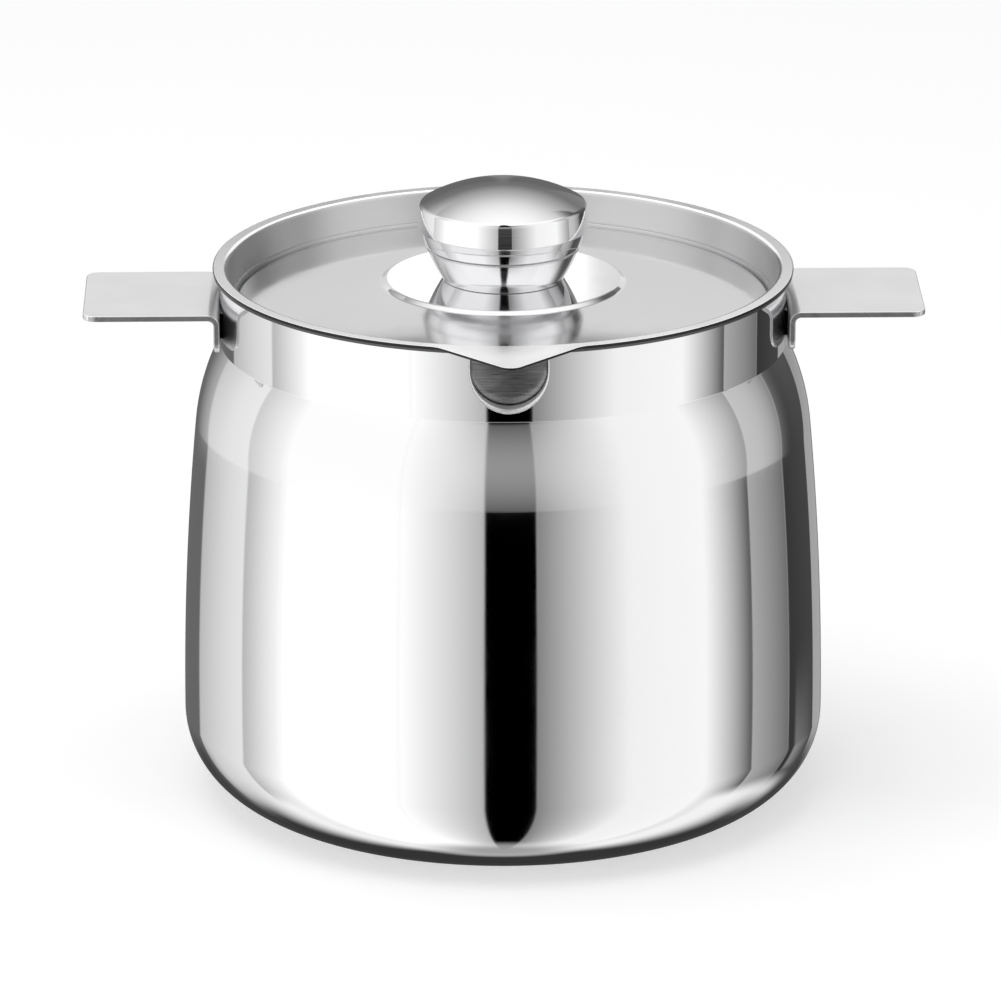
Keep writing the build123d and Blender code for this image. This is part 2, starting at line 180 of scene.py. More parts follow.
class OilPotStrainerSizes(bpy.types.PropertyGroup):
    """Sizes of the strainer's sheet"""
    sheet: length("Sheet", "Thickness of the strainer's sheet", 0.0007)
    top: length("Top", "Height of the flange's upper face", strainer_high.z)
    rim_radius: length("Rim radius", "Outer radius of the flange", strainer_high.x)
    lip_reach: length("Lip reach", "How far the V-shaped lip stands out from the flange", 0.0158)
    lip_half_angle: angle("Lip half angle", "Half of the angle of the V", 42.5)
    lip_tip: length("Lip tip", "Radius of the lip's tip", 0.0035)
    lip_root: length("Lip root", "Radius where the lip leaves the flange", 0.006)
    rim_bend: length("Rim bend", "Inside radius of the bend under the flange", 0.0005)
    wall_radius: length("Wall radius", "Inner radius of the wall at the flange", 0.0705)
    draft: length("Draft", "How far the wall leans in from the flange to the bottom", 0.007)
    seat_depth: length("Seat depth", "Depth of the lid's ledge below the flange", 0.0096)
    seat_width: length("Seat width", "Width of the lid's ledge", 0.0023)
    seat_edge: length("Seat edge", "Height of the ring's upright edge above the ledge", 0.0017)
    seat_bend: length("Seat bend", "Inside radius of the ring's bend", 0.0002)
    cup_depth: length("Cup depth", "Depth of the bottom below the ledge", 0.034)
    cup_bend: length("Cup bend", "Inside radius of the lower bend", 0.0005)
    ledge_width: length("Plate ledge", "Width of the flange that carries the punched disc", 0.005)
    edge: length("Edge", "Rounding of the sheet's edges", 0.0003)

    def wall_at(self, height):
        """Inner radius of the tapered wall at a height."""
        tall = self.seat_depth + self.cup_depth - self.sheet
        return self.wall_radius - self.draft * (self.top - height) / tall


class OilPotLidSizes(bpy.types.PropertyGroup):
    """Sizes of the lid's sheet"""
    radius: length("Radius", "Radius of the lid", lid_high.x)
    sheet: length("Sheet", "Thickness of the lid's sheet", 0.0008)
    seat_ring: length("Seat ring", "Width of the flat ring under the lid's edge", 0.0017)
    rise: length("Rise", "Height of the dome from edge to pad", 0.0044)
    pad_radius: length("Pad radius", "Radius of the raised pad's foot", 0.0313)
    pad_ramp: length("Pad ramp", "Width of the pad's ramp", 0.0014)
    pad_step: length("Pad step", "Height of the pad above the dome", 0.0009)
    pad_rounding: length("Pad rounding", "Radius of the pad's bends", 0.0012)
    hole_radius: length("Hole radius", "Radius of the screw hole", 0.0023)
    edge: length("Edge", "Rounding of the sheet's edges", 0.0003)


class OilPotKnobSizes(bpy.types.PropertyGroup):
    """Sizes of the hollow knob"""
    foot_radius: length("Foot radius", "Radius of the bowl where it meets the pad", 0.0153)
    mouth_radius: length("Mouth radius", "Radius of the bowl's mouth", 0.0212)
    side_bulge: length("Side bulge", "How far the flared side bulges out", 0.00055)
    groove_height: length("Groove height", "Height of the turned groove above the pad", 0.0087)
    groove: length("Groove", "Depth and half width of the groove", 0.00035)
    seam_overhang: length("Seam overhang", "How far the cap stands out over the bowl's mouth", 0.0006)
    band_taper: length("Band taper", "How far the cap's band narrows on its way up", 0.0005)
    band_height: length("Band height", "Height of the cap's band", 0.0064)
    dome_height: length("Dome height", "Height of the cap's dome above its band", 0.0058)
    sheet: length("Sheet", "Thickness of the knob's sheet", 0.001)
    shoulder: length("Shoulder", "Rounding between the band and the dome", 0.0014)
    seam_edge: length("Seam edge", "Rounding of the cap's lower edge", 0.0003)
    edge: length("Edge", "Rounding of the bowl's foot", 0.0006)
    skirt: length("Skirt", "Length of the cap's skirt inside the bowl", 0.0016)
    skirt_clearance: length("Skirt clearance", "Room between skirt and bowl", 0.0001)
    hole_radius: length("Hole radius", "Radius of the screw hole", 0.0023)


class OilPotFinishes(bpy.types.PropertyGroup):
    """Colours and roughness of the steel finishes"""
    pot_colour: grey("Pot", "Colour of the mirror-polished pot", 0.83)
    lid_colour: grey("Lid", "Colour of the polished dome of the lid", 0.80)
    pad_colour: grey("Pad", "Colour of the lid's polished pad", 0.86)
    knob_colour: grey("Knob", "Colour of the mirror-polished knob", 0.85)
    # A steel grey, set darker than the flange of the same sheet as painted shade inside the strainer and on
    # its disc
    strainer_tone_and_shade: grey("Strainer", "Colour inside the strainer", 0.62)
    # Painted shade: the strainer's outside, seen only through the pour hole, is set far darker than its
    # steel
    shaded_outside_colour: grey("Strainer outside", "Colour of the brushed outside of the strainer", 0.30)
    flange_colour: grey("Flange", "Colour of the strainer's flange and lip", 0.86)
    # Painted highlight: the sill is set lighter than the pot's own steel so its upturned edge shines; its
    # rubbed finish is only in its roughness
    sill_highlight_colour: grey("Sill", "Colour of the pour hole's rubbed edge", 0.92)
    # Painted shade: the rim's cut edge sits under the strainer's flange and is set very dark for the shade
    # there
    rim_edge_shade_colour: grey("Cut edge", "Colour of the pot's cut edge", 0.11)
    # Painted shadow: the flange's cut edge is near black, standing in for the shadowed gap between the two
    # flanges
    flange_gap_shadow_colour: grey("Flange edge", "Colour of the cut edge of the strainer's flange", 0.035)
    handle_edge_colour: grey("Handle edge", "Colour of the handles' cut edges", 0.42)
    handle_colour: grey("Handles", "Colour of the satin handles", 0.84)
    fastener_colour: grey("Fasteners", "Colour of the screw, the washers and the boss", 0.62)
    pot_roughness: share("Pot roughness", "Roughness of the mirror polish", 0.035)
    lid_roughness: share("Lid roughness", "Roughness of the lid's polished slope", 0.10)
    pad_roughness: share("Pad roughness", "Roughness of the lid's polished pad", 0.06)
    knob_roughness: share("Knob roughness", "Roughness of the knob's polish", 0.03)
    wall_roughness: share("Wall roughness", "Roughness inside the strainer", 0.36)
    wall_anisotropy: share("Wall anisotropy", "How far the shine inside the strainer is drawn out", 0.9)
    strainer_roughness: share("Strainer roughness", "Roughness of the brushed strainer", 0.30)
    flange_roughness: share("Flange roughness", "Roughness of the strainer's flange and lip", 0.12)
    sill_roughness: share("Sill roughness", "Roughness of the pour hole's rubbed edge", 0.42)
    edge_roughness: share("Edge roughness", "Roughness of the sheet's cut edges", 0.36)
    handle_roughness: share("Handle roughness", "Roughness of the handles' satin", 0.34)
    fastener_roughness: share("Fastener roughness", "Roughness of the fasteners", 0.38)


class OilPotStudio(bpy.types.PropertyGroup):
    """Floor, light and camera"""
    floor_colour: grey("Floor", "Colour of the floor", 0.80)
    floor_half: length("Floor half width", "Distance from the pot to the floor's sides", 8.0)
    floor_drop: length("Floor drop", "Gap between the pot's base and the floor", 0.00002)
    floor_glow: share("Floor glow", "White that the floor adds for the camera", 0.34)
    ambient: number("Ambient", "Strength of the even light from all round", 0.62)
    lamp_power: number("Lamp power", "Power of the lamp overhead in watts", 9.0)
    lamp_size: length("Lamp size", "Width of the lamp overhead", 1.3)
    camera_distance: length("Camera distance", "Distance of the camera from the pot", 2.0)
    camera_azimuth: angle("Camera azimuth", "Angle of the camera to the right of the pouring side", -1.2)
    camera_elevation: angle("Camera elevation", "Angle of the camera above the horizon", 18.22)
    camera_lens: number("Camera lens", "Focal length in millimetres on a 36 mm sensor", 278.7)
    aim_left: length("Aim left", "How far left of the pot's middle the camera aims", 0.00065)
    aim_below: length("Aim below", "How far below the pot's middle the camera aims", 0.00359)
    panel_distance: length("Panel distance", "Distance of the light panels from the pot", 6.0)
    panel_columns: IntProperty(name="Panel columns", description="Columns of the light panels all round",
                               default=720)


def steps(start, end, count):
    """Evenly spaced numbers from start to end, with both."""
    return [start + (end - start) * i / count for i in range(count + 1)]


def swept(start, end, count):
    """Evenly spaced angles between two angles in degrees."""
    return [radians(degrees) for degrees in steps(start, end, count)]


def all_round(count):
    """Angles of evenly spaced columns, from the pouring side."""
    return steps(0, 2 * pi, count)[:-1]


def eased(value, low, high):
    """Nothing below the low mark, one above the high mark, and smooth between them."""
    t = min(1.0, max(0.0, (value - low) / (high - low)))
    return t * t * (3 - 2 * t)


# An outline is points of (radius, height, normal across, normal up), with the metal to the left of its run

def arc(centre, radius, start, end, step=BEND_STEP, hollow=False):
    """Points along an arc between two angles; a hollow arc has the metal outside it."""
    count = max(2, ceil(abs(end - start) / step))
    side = -1 if hollow else 1
    points = []
    for a in steps(start, end, count):
        across, up = cos(a), sin(a)
        points.append((centre[0] + radius * across, centre[1] + radius * up, side * across, side * up))
    return points


def rounded(*corners):
    """Straight runs between corners of (radius, height, rounding), with each inner corner rounded."""
    points = []
    for before, here, after in zip(corners, corners[1:], corners[2:]):
        came = Vector((here[0] - before[0], here[1] - before[1])).normalized()
        goes = Vector((after[0] - here[0], after[1] - here[1])).normalized()
        turn = atan2(came.x * goes.y - came.y * goes.x, came.dot(goes))
        reach = here[2] * tan(abs(turn) / 2)
        facing = atan2(-came.x, came.y)
        bend = here[2] if turn > 0 else -here[2]
        start = (here[0] - came.x * reach, here[1] - came.y * reach)
        centre = (start[0] - bend * cos(facing), start[1] - bend * sin(facing))
        for a in steps(facing, facing + turn, max(1, ceil(abs(turn) / CORNER_STEP))):
            across, up = cos(a), sin(a)
            points.append((centre[0] + bend * across, centre[1] + bend * up, across, up))
    first, second = corners[0], corners[1]
    last, before = corners[-1], corners[-2]
    opening = atan2(-(second[0] - first[0]), second[1] - first[1])
    closing = atan2(-(last[0] - before[0]), last[1] - before[1])
    points.insert(0, (first[0], first[1], cos(opening), sin(opening)))
    points.append((last[0], last[1], cos(closing), sin(closing)))
    return points


def flipped(points):
    """The same outline run the other way, for the other face of the sheet."""
    return [(radius, height, -across, -up) for radius, height, across, up in reversed(points)]


class Skin:
    """A surface gathered row by row, with an exact normal at each point."""

    def __init__(self):
        self.points, self.normals, self.faces, self.found = [], [], [], {}

    def point(self, place, normal):
        """The number of a point, the same one for the same place."""
        key = tuple(round(value / SAME_PLACE) for value in place)
        if key not in self.found:
            self.found[key] = len(self.points)
            self.points.append(tuple(place))
            self.normals.append(tuple(Vector(normal).normalized()))
        return self.found[key]

    def row(self, pairs):
        """Numbers of a row of points."""
        return [self.point(place, normal) for place, normal in pairs]

    def ring(self, mark, angles):
        """A row all round the axis from one point of an outline."""
        radius, height, across, up = mark
        pairs = []
        for a in angles:
            place = (radius * sin(a), -radius * cos(a), height)
            pairs.append((place, (across * sin(a), -across * cos(a), up)))
        return self.row(pairs)

    def face(self, *corners):
        """One face, left out where it has shrunk to a line."""
        kept = [c for i, c in enumerate(corners) if c != corners[i - 1]]
        if len(kept) > 2:
            self.faces.append(kept)

    def join(self, lower, upper, gap=()):
        """Faces between two rows that close on themselves, apart from the columns in the gap."""
        count = len(lower)
        for i in range(count):
            if i not in gap:
                k = (i + 1) % count
                self.face(lower[i], lower[k], upper[k], upper[i])

    def turned(self, outline, angles, closed=False):
        """Faces along an outline turned about the axis."""
        rows = [self.ring(mark, angles) for mark in outline]
        for lower, upper in zip(rows, rows[1:]):
            self.join(lower, upper)
        if closed:
            self.join(rows[-1], rows[0])
        return rows

    def mirror(self):
        """The same surface on the pot's other side."""
        self.points = [(-x, y, z) for x, y, z in self.points]
        self.normals = [(-x, y, z) for x, y, z in self.normals]
        self.faces = [face[::-1] for face in self.faces]

    def piece(self, name, body, slot, material, *nodes):
        """The finished object, riding on its body in place of its CAD nodes."""
        used = sorted({corner for face in self.faces for corner in face})
        place = {old: new for new, old in enumerate(used)}
        faces = [[place[corner] for corner in face] for face in self.faces]
        mesh = bpy.data.meshes.new(name)
        mesh.from_pydata([self.points[i] for i in used], [], faces)
        mesh.polygons.foreach_set("use_smooth", [True] * len(mesh.polygons))
        mesh.normals_split_custom_set_from_vertices([self.normals[i] for i in used])
        mesh.materials.append(material)
        made = bpy.data.objects.new(name, mesh)
        bpy.context.scene.collection.objects.link(made)
        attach(made, body)
        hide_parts(*nodes)
        return made


class Nodes:
    """The node tree of a material or a world, filled one node after another."""

    def __init__(self, owner):
        owner.use_nodes = True
        self.tree = owner.node_tree
        self.tree.nodes.clear()

    def feed(self, socket, value):
        """Gives an input a value or another node's output."""
        if isinstance(value, bpy.types.NodeSocket):
            self.tree.links.new(value, socket)
        else:
            socket.default_value = value

    def node(self, kind, *inputs, named=None, **settings):
        """A node with its settings, and its inputs in their order or by their names."""
        made = self.tree.nodes.new(kind)
        for setting, value in settings.items():
            setattr(made, setting, value)
        for socket, value in zip(made.inputs, inputs):
            self.feed(socket, value)
        for name, value in (named or {}).items():
            self.feed(made.inputs[name], value)
        return made

    def math(self, operation, *inputs):
        """The result of one sum on numbers."""
        return self.node("ShaderNodeMath", *inputs, operation=operation).outputs[0]

    def spread(self, value, low, high, bottom, top):
        """A number moved from one range to another."""
        return self.node("ShaderNodeMapRange", value, low, high, bottom, top).outputs["Result"]

    def close(self, shader, kind="ShaderNodeOutputMaterial"):
        """Shows the shader."""
        self.node(kind, named={"Surface": shader.outputs[0]})


class Finish(Nodes):
    """A material that follows places on the pot."""

    def __init__(self, name):
        self.material = bpy.data.materials.new(name)
        super().__init__(self.material)
        self.place = self.node("ShaderNodeNewGeometry").outputs["Position"]

    def vector(self, operation, *inputs):
        """The result of one sum on vectors."""
        return self.node("ShaderNodeVectorMath", *inputs, operation=operation).outputs[0]

    def noise(self, where, scale=1.0, detail=3.0, roughness=0.55):
        """A cloudy number from nothing to one."""
        chosen = {"Vector": where, "Scale": scale, "Detail": detail, "Roughness": roughness}
        return self.node("ShaderNodeTexNoise", named=chosen).outputs["Fac"]

    def blend(self, first, second, first_share):
        """A number made of a share of one and the rest of another."""
        part = self.math("MULTIPLY", first, first_share)
        return self.math("ADD", part, self.math("MULTIPLY", second, 1 - first_share))

    def around(self, along, up):
        """Places stretched along circles about the pot's axis, as polishing and brushing leave them."""
        split = self.node("ShaderNodeSeparateXYZ", self.place)
        flat = self.node("ShaderNodeCombineXYZ", split.outputs["X"], split.outputs["Y"], 0.0).outputs[0]
        circle = self.vector("MULTIPLY", self.vector("NORMALIZE", flat), (along, along, along))
        reach = self.node("ShaderNodeVectorMath", flat, operation="LENGTH").outputs["Value"]
        rise = self.math("MULTIPLY", self.math("ADD", split.outputs["Z"], reach), up)
        return self.vector("ADD", circle, self.node("ShaderNodeCombineXYZ", 0.0, 0.0, rise).outputs[0])

    def bump(self, height, distance, under=None):
        """A bumped normal, on top of another one if it is given."""
        chosen = {"Strength": 1.0, "Distance": distance, "Height": height}
        if under is not None:
            chosen["Normal"] = under
        return self.node("ShaderNodeBump", named=chosen).outputs["Normal"]

    def tint(self, colour, value, spread):
        """The colour, a little lighter and darker from place to place."""
        low = tuple(c * (1 - spread) for c in colour) + (1.0,)
        high = tuple(min(1.0, c * (1 + spread)) for c in colour) + (1.0,)
        mixed = self.node("ShaderNodeMix", named={"Factor": value, "A": low, "B": high}, data_type="RGBA")
        return next(output for output in mixed.outputs if output.type == "RGBA")

    def steel(self, colour, roughness, normal, anisotropy=0.0):
        """The finished metal."""
        chosen = {"Metallic": 1.0, "Base Color": colour, "Roughness": roughness, "Normal": normal}
        if anisotropy:
            round_axis = self.node("ShaderNodeTangent", direction_type="RADIAL", axis="Z")
            chosen["Tangent"] = round_axis.outputs[0]
            chosen["Anisotropic"] = anisotropy
            chosen["Anisotropic Rotation"] = SHINE_TURN
        self.close(self.node("ShaderNodeBsdfPrincipled", named=chosen))
        return self.material


def mirror_steel(name, colour, roughness, waviness):
    """Spun sheet polished to a mirror: slow waves, faint polishing rings, a few soft smudges."""
    finish = Finish(name)
    smudges = finish.noise(finish.place, scale=28.0, detail=4.0, roughness=0.6)
    rings = finish.noise(finish.around(3.0, 2600.0), detail=2.0)
    waves = finish.noise(finish.place, scale=17.0, detail=1.0, roughness=0.4)
    gloss = finish.spread(smudges, 0.42, 0.72, roughness, roughness * 1.9)
    normal = finish.bump(rings, POLISH_RINGS, finish.bump(waves, waviness))
    return finish.steel(finish.tint(colour, smudges, 0.015), gloss, normal)


def rubbed_steel(name, colour, roughness, anisotropy):
    """Sheet rubbed round the axis to a soft shine that spreads up and down."""
    finish = Finish(name)
    lines = finish.noise(finish.around(6.0, 1900.0), roughness=0.6)
    clouds = finish.noise(finish.place, scale=40.0)
    gloss = finish.spread(clouds, 0.35, 0.7, roughness * 0.92, roughness * 1.1)
    normal = finish.bump(lines, RUBBED_GRAIN)
    return finish.steel(finish.tint(colour, lines, 0.03), gloss, normal, anisotropy)


def brushed_steel(name, colour, roughness, grain, contrast):
    """Satin sheet with fine brush lines that run round the axis."""
    finish = Finish(name)
    lines = finish.noise(finish.around(9.0, 2300.0), roughness=0.65)
    coarse = finish.noise(finish.around(5.0, 620.0), detail=2.0)
    clouds = finish.noise(finish.place, scale=35.0)
    both = finish.blend(lines, coarse, 0.65)
    gloss = finish.spread(both, 0.3, 0.7, roughness * 0.8, roughness * 1.25)
    shade = finish.spread(finish.blend(both, clouds, 0.75), 0.34, 0.66, 0.0, 1.0)
    return finish.steel(finish.tint(colour, shade, contrast), gloss, finish.bump(both, grain))


def satin_strip(name, colour, roughness):
    """Rolled strip with a fine grain along its length and soft clouds of wear."""
    finish = Finish(name)
    stretched = finish.vector("MULTIPLY", finish.place, (90.0, 1500.0, 1500.0))
    lines = finish.noise(stretched, roughness=0.6)
    clouds = finish.noise(finish.place, scale=60.0)
    gloss = finish.spread(clouds, 0.35, 0.7, roughness * 0.9, roughness * 1.15)
    shade = finish.blend(lines, clouds, 0.5)
    return finish.steel(finish.tint(colour, shade, 0.03), gloss, finish.bump(lines, STRIP_GRAIN))


def cut_steel(name, colour, roughness):
    """Sheared edges of the sheet, duller than its faces and grained along the cut; the colours it is given
    carry painted shade on the pot's rim edge, a painted shadow on the flange's edge and a painted highlight
    on the sill.
    """
    finish = Finish(name)
    grain = finish.noise(finish.around(40.0, 3200.0))
    gloss = finish.spread(grain, 0.3, 0.7, roughness * 0.8, roughness * 1.25)
    return finish.steel(finish.tint(colour, grain, 0.12), gloss, finish.bump(grain, CUT_GRAIN))


def plated_steel(name, colour, roughness):
    """Turned and plated fasteners: fine lathe rings under a dull grey coat."""
    finish = Finish(name)
    rings = finish.noise(finish.around(1.5, 5200.0), detail=2.0)
    clouds = finish.noise(finish.place, scale=320.0)
    gloss = finish.spread(clouds, 0.3, 0.7, roughness * 0.85, roughness * 1.2)
    return finish.steel(finish.tint(colour, clouds, 0.06), gloss, finish.bump(rings, LATHE_GRAIN))


def dress_node(node, material):
    """A CAD node that stays takes the finish."""
    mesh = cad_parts[node].data
    mesh.materials.clear()
    mesh.materials.append(material)


class OILPOT_OT_pot(bpy.types.Operator):
    """Builds the pot's shell with its pour hole"""
    bl_idname = "oil_pot.pot"
    bl_label = "Pot"

    def execute(self, context):
        s = context.scene.oil_pot_pot
        finishes = context.scene.oil_pot_finishes
        wall_top = s.neck_radius + s.shoulder_overhang
        lean = s.belly_radius - wall_top
        standing = s.belly_radius - s.base_corner
        sweep = (lean ** 2 + s.wall_height ** 2) / (2 * lean)
        turn = asin(s.wall_height / sweep)
        inward = s.shoulder_overhang * cos(turn) - s.shoulder_height * sin(turn)
        shoulder = hypot(s.shoulder_overhang, s.shoulder_height) ** 2 / (2 * inward)
        top = s.base_corner + s.wall_height
        middle = (wall_top - shoulder * cos(turn), top - shoulder * sin(turn))
        bend_at = s.neck_radius + s.crease_bend
        bend_rise = sqrt((shoulder + s.crease_bend) ** 2 - (bend_at - middle[0]) ** 2)
        bend_turn = atan2(bend_rise, bend_at - middle[0])
        bend = (bend_at, middle[1] + bend_rise)
        ring_inner = standing - s.ring_width
        ramp_end = ring_inner - s.dish_ramp

        def skin(inset):
            """Outer face of the shell from the axis to the neck's foot, or the face set in from it."""
            base = rounded(
                (0, s.dish_depth + inset),
                (ramp_end, s.dish_depth + inset, s.dish_rounding + inset),
                (ring_inner, inset, s.dish_rounding - inset),
                (standing, inset),
            )
            corner = arc((standing, s.base_corner), s.base_corner - inset, -pi / 2, 0)
            wall = arc((s.belly_radius - sweep, s.base_corner), sweep - inset, 0, turn, WALL_STEP)
            crown = arc(middle, shoulder - inset, turn, bend_turn, SHOULDER_STEP)
            crease = arc(bend, s.crease_bend + inset, bend_turn + pi, pi, CORNER_STEP, hollow=True)
            return base + corner[1:] + wall[1:] + crown[1:] + crease[1:]

        outer, inner = skin(0), skin(s.sheet)
        inside = s.neck_radius - s.sheet
        underside = s.rim_height - s.sheet
        rim_end = s.neck_radius + s.rim_width
        rim = rounded(
            (s.neck_radius, outer[-1][1]),
            (s.neck_radius, underside, s.rim_bend),
            (rim_end, underside, s.edge_rounding),
            (rim_end, s.rim_height, s.edge_rounding),
            (inside, s.rim_height, s.rim_bend + s.sheet),
            (inside, inner[-1][1]),
        )
        switch = next(i for i, mark in enumerate(rim) if mark[3] > LEVEL_FACING)
        swing = swept(-90, 90, HOLE_STEPS)
        fullness = [s.hole_rounding + s.hole_bead * cos(t) ** 2 for t in swing]
        sill_back = [max(s.sheet + s.edge_rounding, round_off) for round_off in fullness]

        def columns(margins, radius):
            """Column angles that follow the hole's outline and are even elsewhere."""
            hole = [asin((s.hole_radius + margin) * sin(t) / radius) for t, margin in zip(swing, margins)]
            return hole + steps(hole[-1], 2 * pi - hole[-1], POT_COLUMNS)[1:-1]

        out_angles = columns(fullness, s.neck_radius)
        in_angles = columns(sill_back, inside)
        hole_gap = range(len(swing) - 1)
        made = Skin()

        def neck_rows(radius, facing, angles, margins):
            """Rows of the neck at the hole's lower outline and at its head."""
            low = []
            for i, a in enumerate(angles):
                drop = (s.hole_radius + margins[i]) * cos(swing[i]) if i < len(swing) else 0.0
                place = (radius * sin(a), -radius * cos(a), s.hole_height - drop)
                low.append((place, (facing * sin(a), -facing * cos(a), 0)))
            high = s.hole_height + s.hole_side + s.hole_rounding
            return made.row(low), made.ring((radius, high, facing, 0), angles)

        rows = [made.ring(mark, out_angles) for mark in outer]
        low, high = neck_rows(s.neck_radius, 1, out_angles, fullness)
        rows += [low, high]
        gaps = {len(rows) - 2}
        rows += [made.ring(mark, out_angles) for mark in rim[1:switch]]
        rows += [made.ring(mark, in_angles) for mark in rim[switch:-1]]
        low_in, high_in = neck_rows(inside, -1, in_angles, sill_back)
        rows += [high_in, low_in]
        gaps.add(len(rows) - 2)
        rows += [made.ring(mark, in_angles) for mark in flipped(inner)]
        for i, (lower, upper) in enumerate(zip(rows, rows[1:])):
            made.join(lower, upper, gap=hole_gap if i in gaps else ())
        sheet_faces = len(made.faces)
        self.edge(made, s, context.scene.oil_pot_strainer, swing, fullness, sill_back)
        steel = mirror_steel("pot_polish", finishes.pot_colour, finishes.pot_roughness, POT_WAVES)
        shell = made.piece("pot_shell", "pot", "pot_polish", steel, "pot_body")
        # The rim edge's dark colour is painted shade under the strainer's flange
        shell.data.materials.append(cut_steel("pot_rim_edge_shade", finishes.rim_edge_shade_colour, finishes.edge_roughness))
        # The sill's light colour is a painted highlight
        shell.data.materials.append(cut_steel("pour_sill", finishes.sill_highlight_colour, finishes.sill_roughness))
        for face in shell.data.polygons:
            across = hypot(face.center.x, face.center.y)
            if face.index >= sheet_faces:
                face.material_index = 2
            elif across > rim_end - s.edge_rounding and face.center.z > underside:
                face.material_index = 1
        return {"FINISHED"}

    def edge(self, made, s, strainer, swing, fullness, sill_back):
        """The hole's rounded edge all round, with the lower part turned in as a sill."""
        head = s.hole_side
        places = [(s.hole_radius * sin(t), -s.hole_radius * cos(t), sin(t), -cos(t)) for t in swing]
        places += [(s.hole_radius * sin(t), head, sin(t), 1.0) for t in reversed(swing)]
        margins = fullness + [s.hole_rounding] * len(swing)
        backs = sill_back + [sill_back[0]] * len(swing)
        sections = []
        for (x, z, out_x, out_z), margin, back in zip(places, margins, backs):
            height = s.hole_height + z
            room = s.neck_radius - strainer.wall_at(height) - s.sill_room
            turned_in = 1 - eased(height, s.hole_height - s.sill_fade, s.hole_height) if z < 0 else 0.0
            depth = s.sheet + (min(s.sill_depth, room) - s.sheet) * turned_in
            sections.append(self.section(made, s, (x, height, out_x, out_z), depth, margin, back))
        for here, after in zip(sections, sections[1:] + sections[:1]):
            for i in range(len(here) - 1):
                made.face(here[i], after[i], after[i + 1], here[i + 1])

    def section(self, made, s, spot, depth, margin, sill_back):
        """Points across the hole's edge, from the neck's outer face to its inner face."""
        x, height, out_x, out_z = spot
        k = s.edge_rounding
        turned_in = min(1.0, (depth - s.sheet) / s.sill_start)
        rise = k * turned_in
        marks = []
        quarter = swept(0, 90, HOLE_EDGE_STEPS)
        for a in quarter:
            marks.append((margin - margin * sin(a), margin - margin * cos(a), -sin(a), -cos(a)))
        for a in quarter:
            marks.append((k - k * cos(a), depth - k + k * sin(a), -cos(a), sin(a)))
        for a in quarter:
            marks.append((s.sheet - k + k * sin(a), depth - rise * (1 - cos(a)),
                          sin(a) * turned_in, cos(a) + 1 - turned_in))
        for a in quarter:
            marks.append((s.sheet + (sill_back - s.sheet) * (1 - cos(a)), s.sheet + rise * (1 - sin(a)),
                          cos(a) * turned_in, sin(a) + 1 - turned_in))
        size = hypot(out_x, out_z)
        row = []
        for offset, into, across, inward in marks:
            at_head = out_z == 1.0
            place_x = x + out_x * offset
            place_z = height + out_z * (min(offset, margin) if at_head else offset)
            radius = s.neck_radius - into
            back = sqrt(radius ** 2 - place_x ** 2)
            facing = Vector((out_x / size * across, 0, out_z / size * across))
            facing += inward * Vector((-place_x / radius, back / radius, 0))
            row.append(made.point((place_x, -back, place_z), facing))
        return row


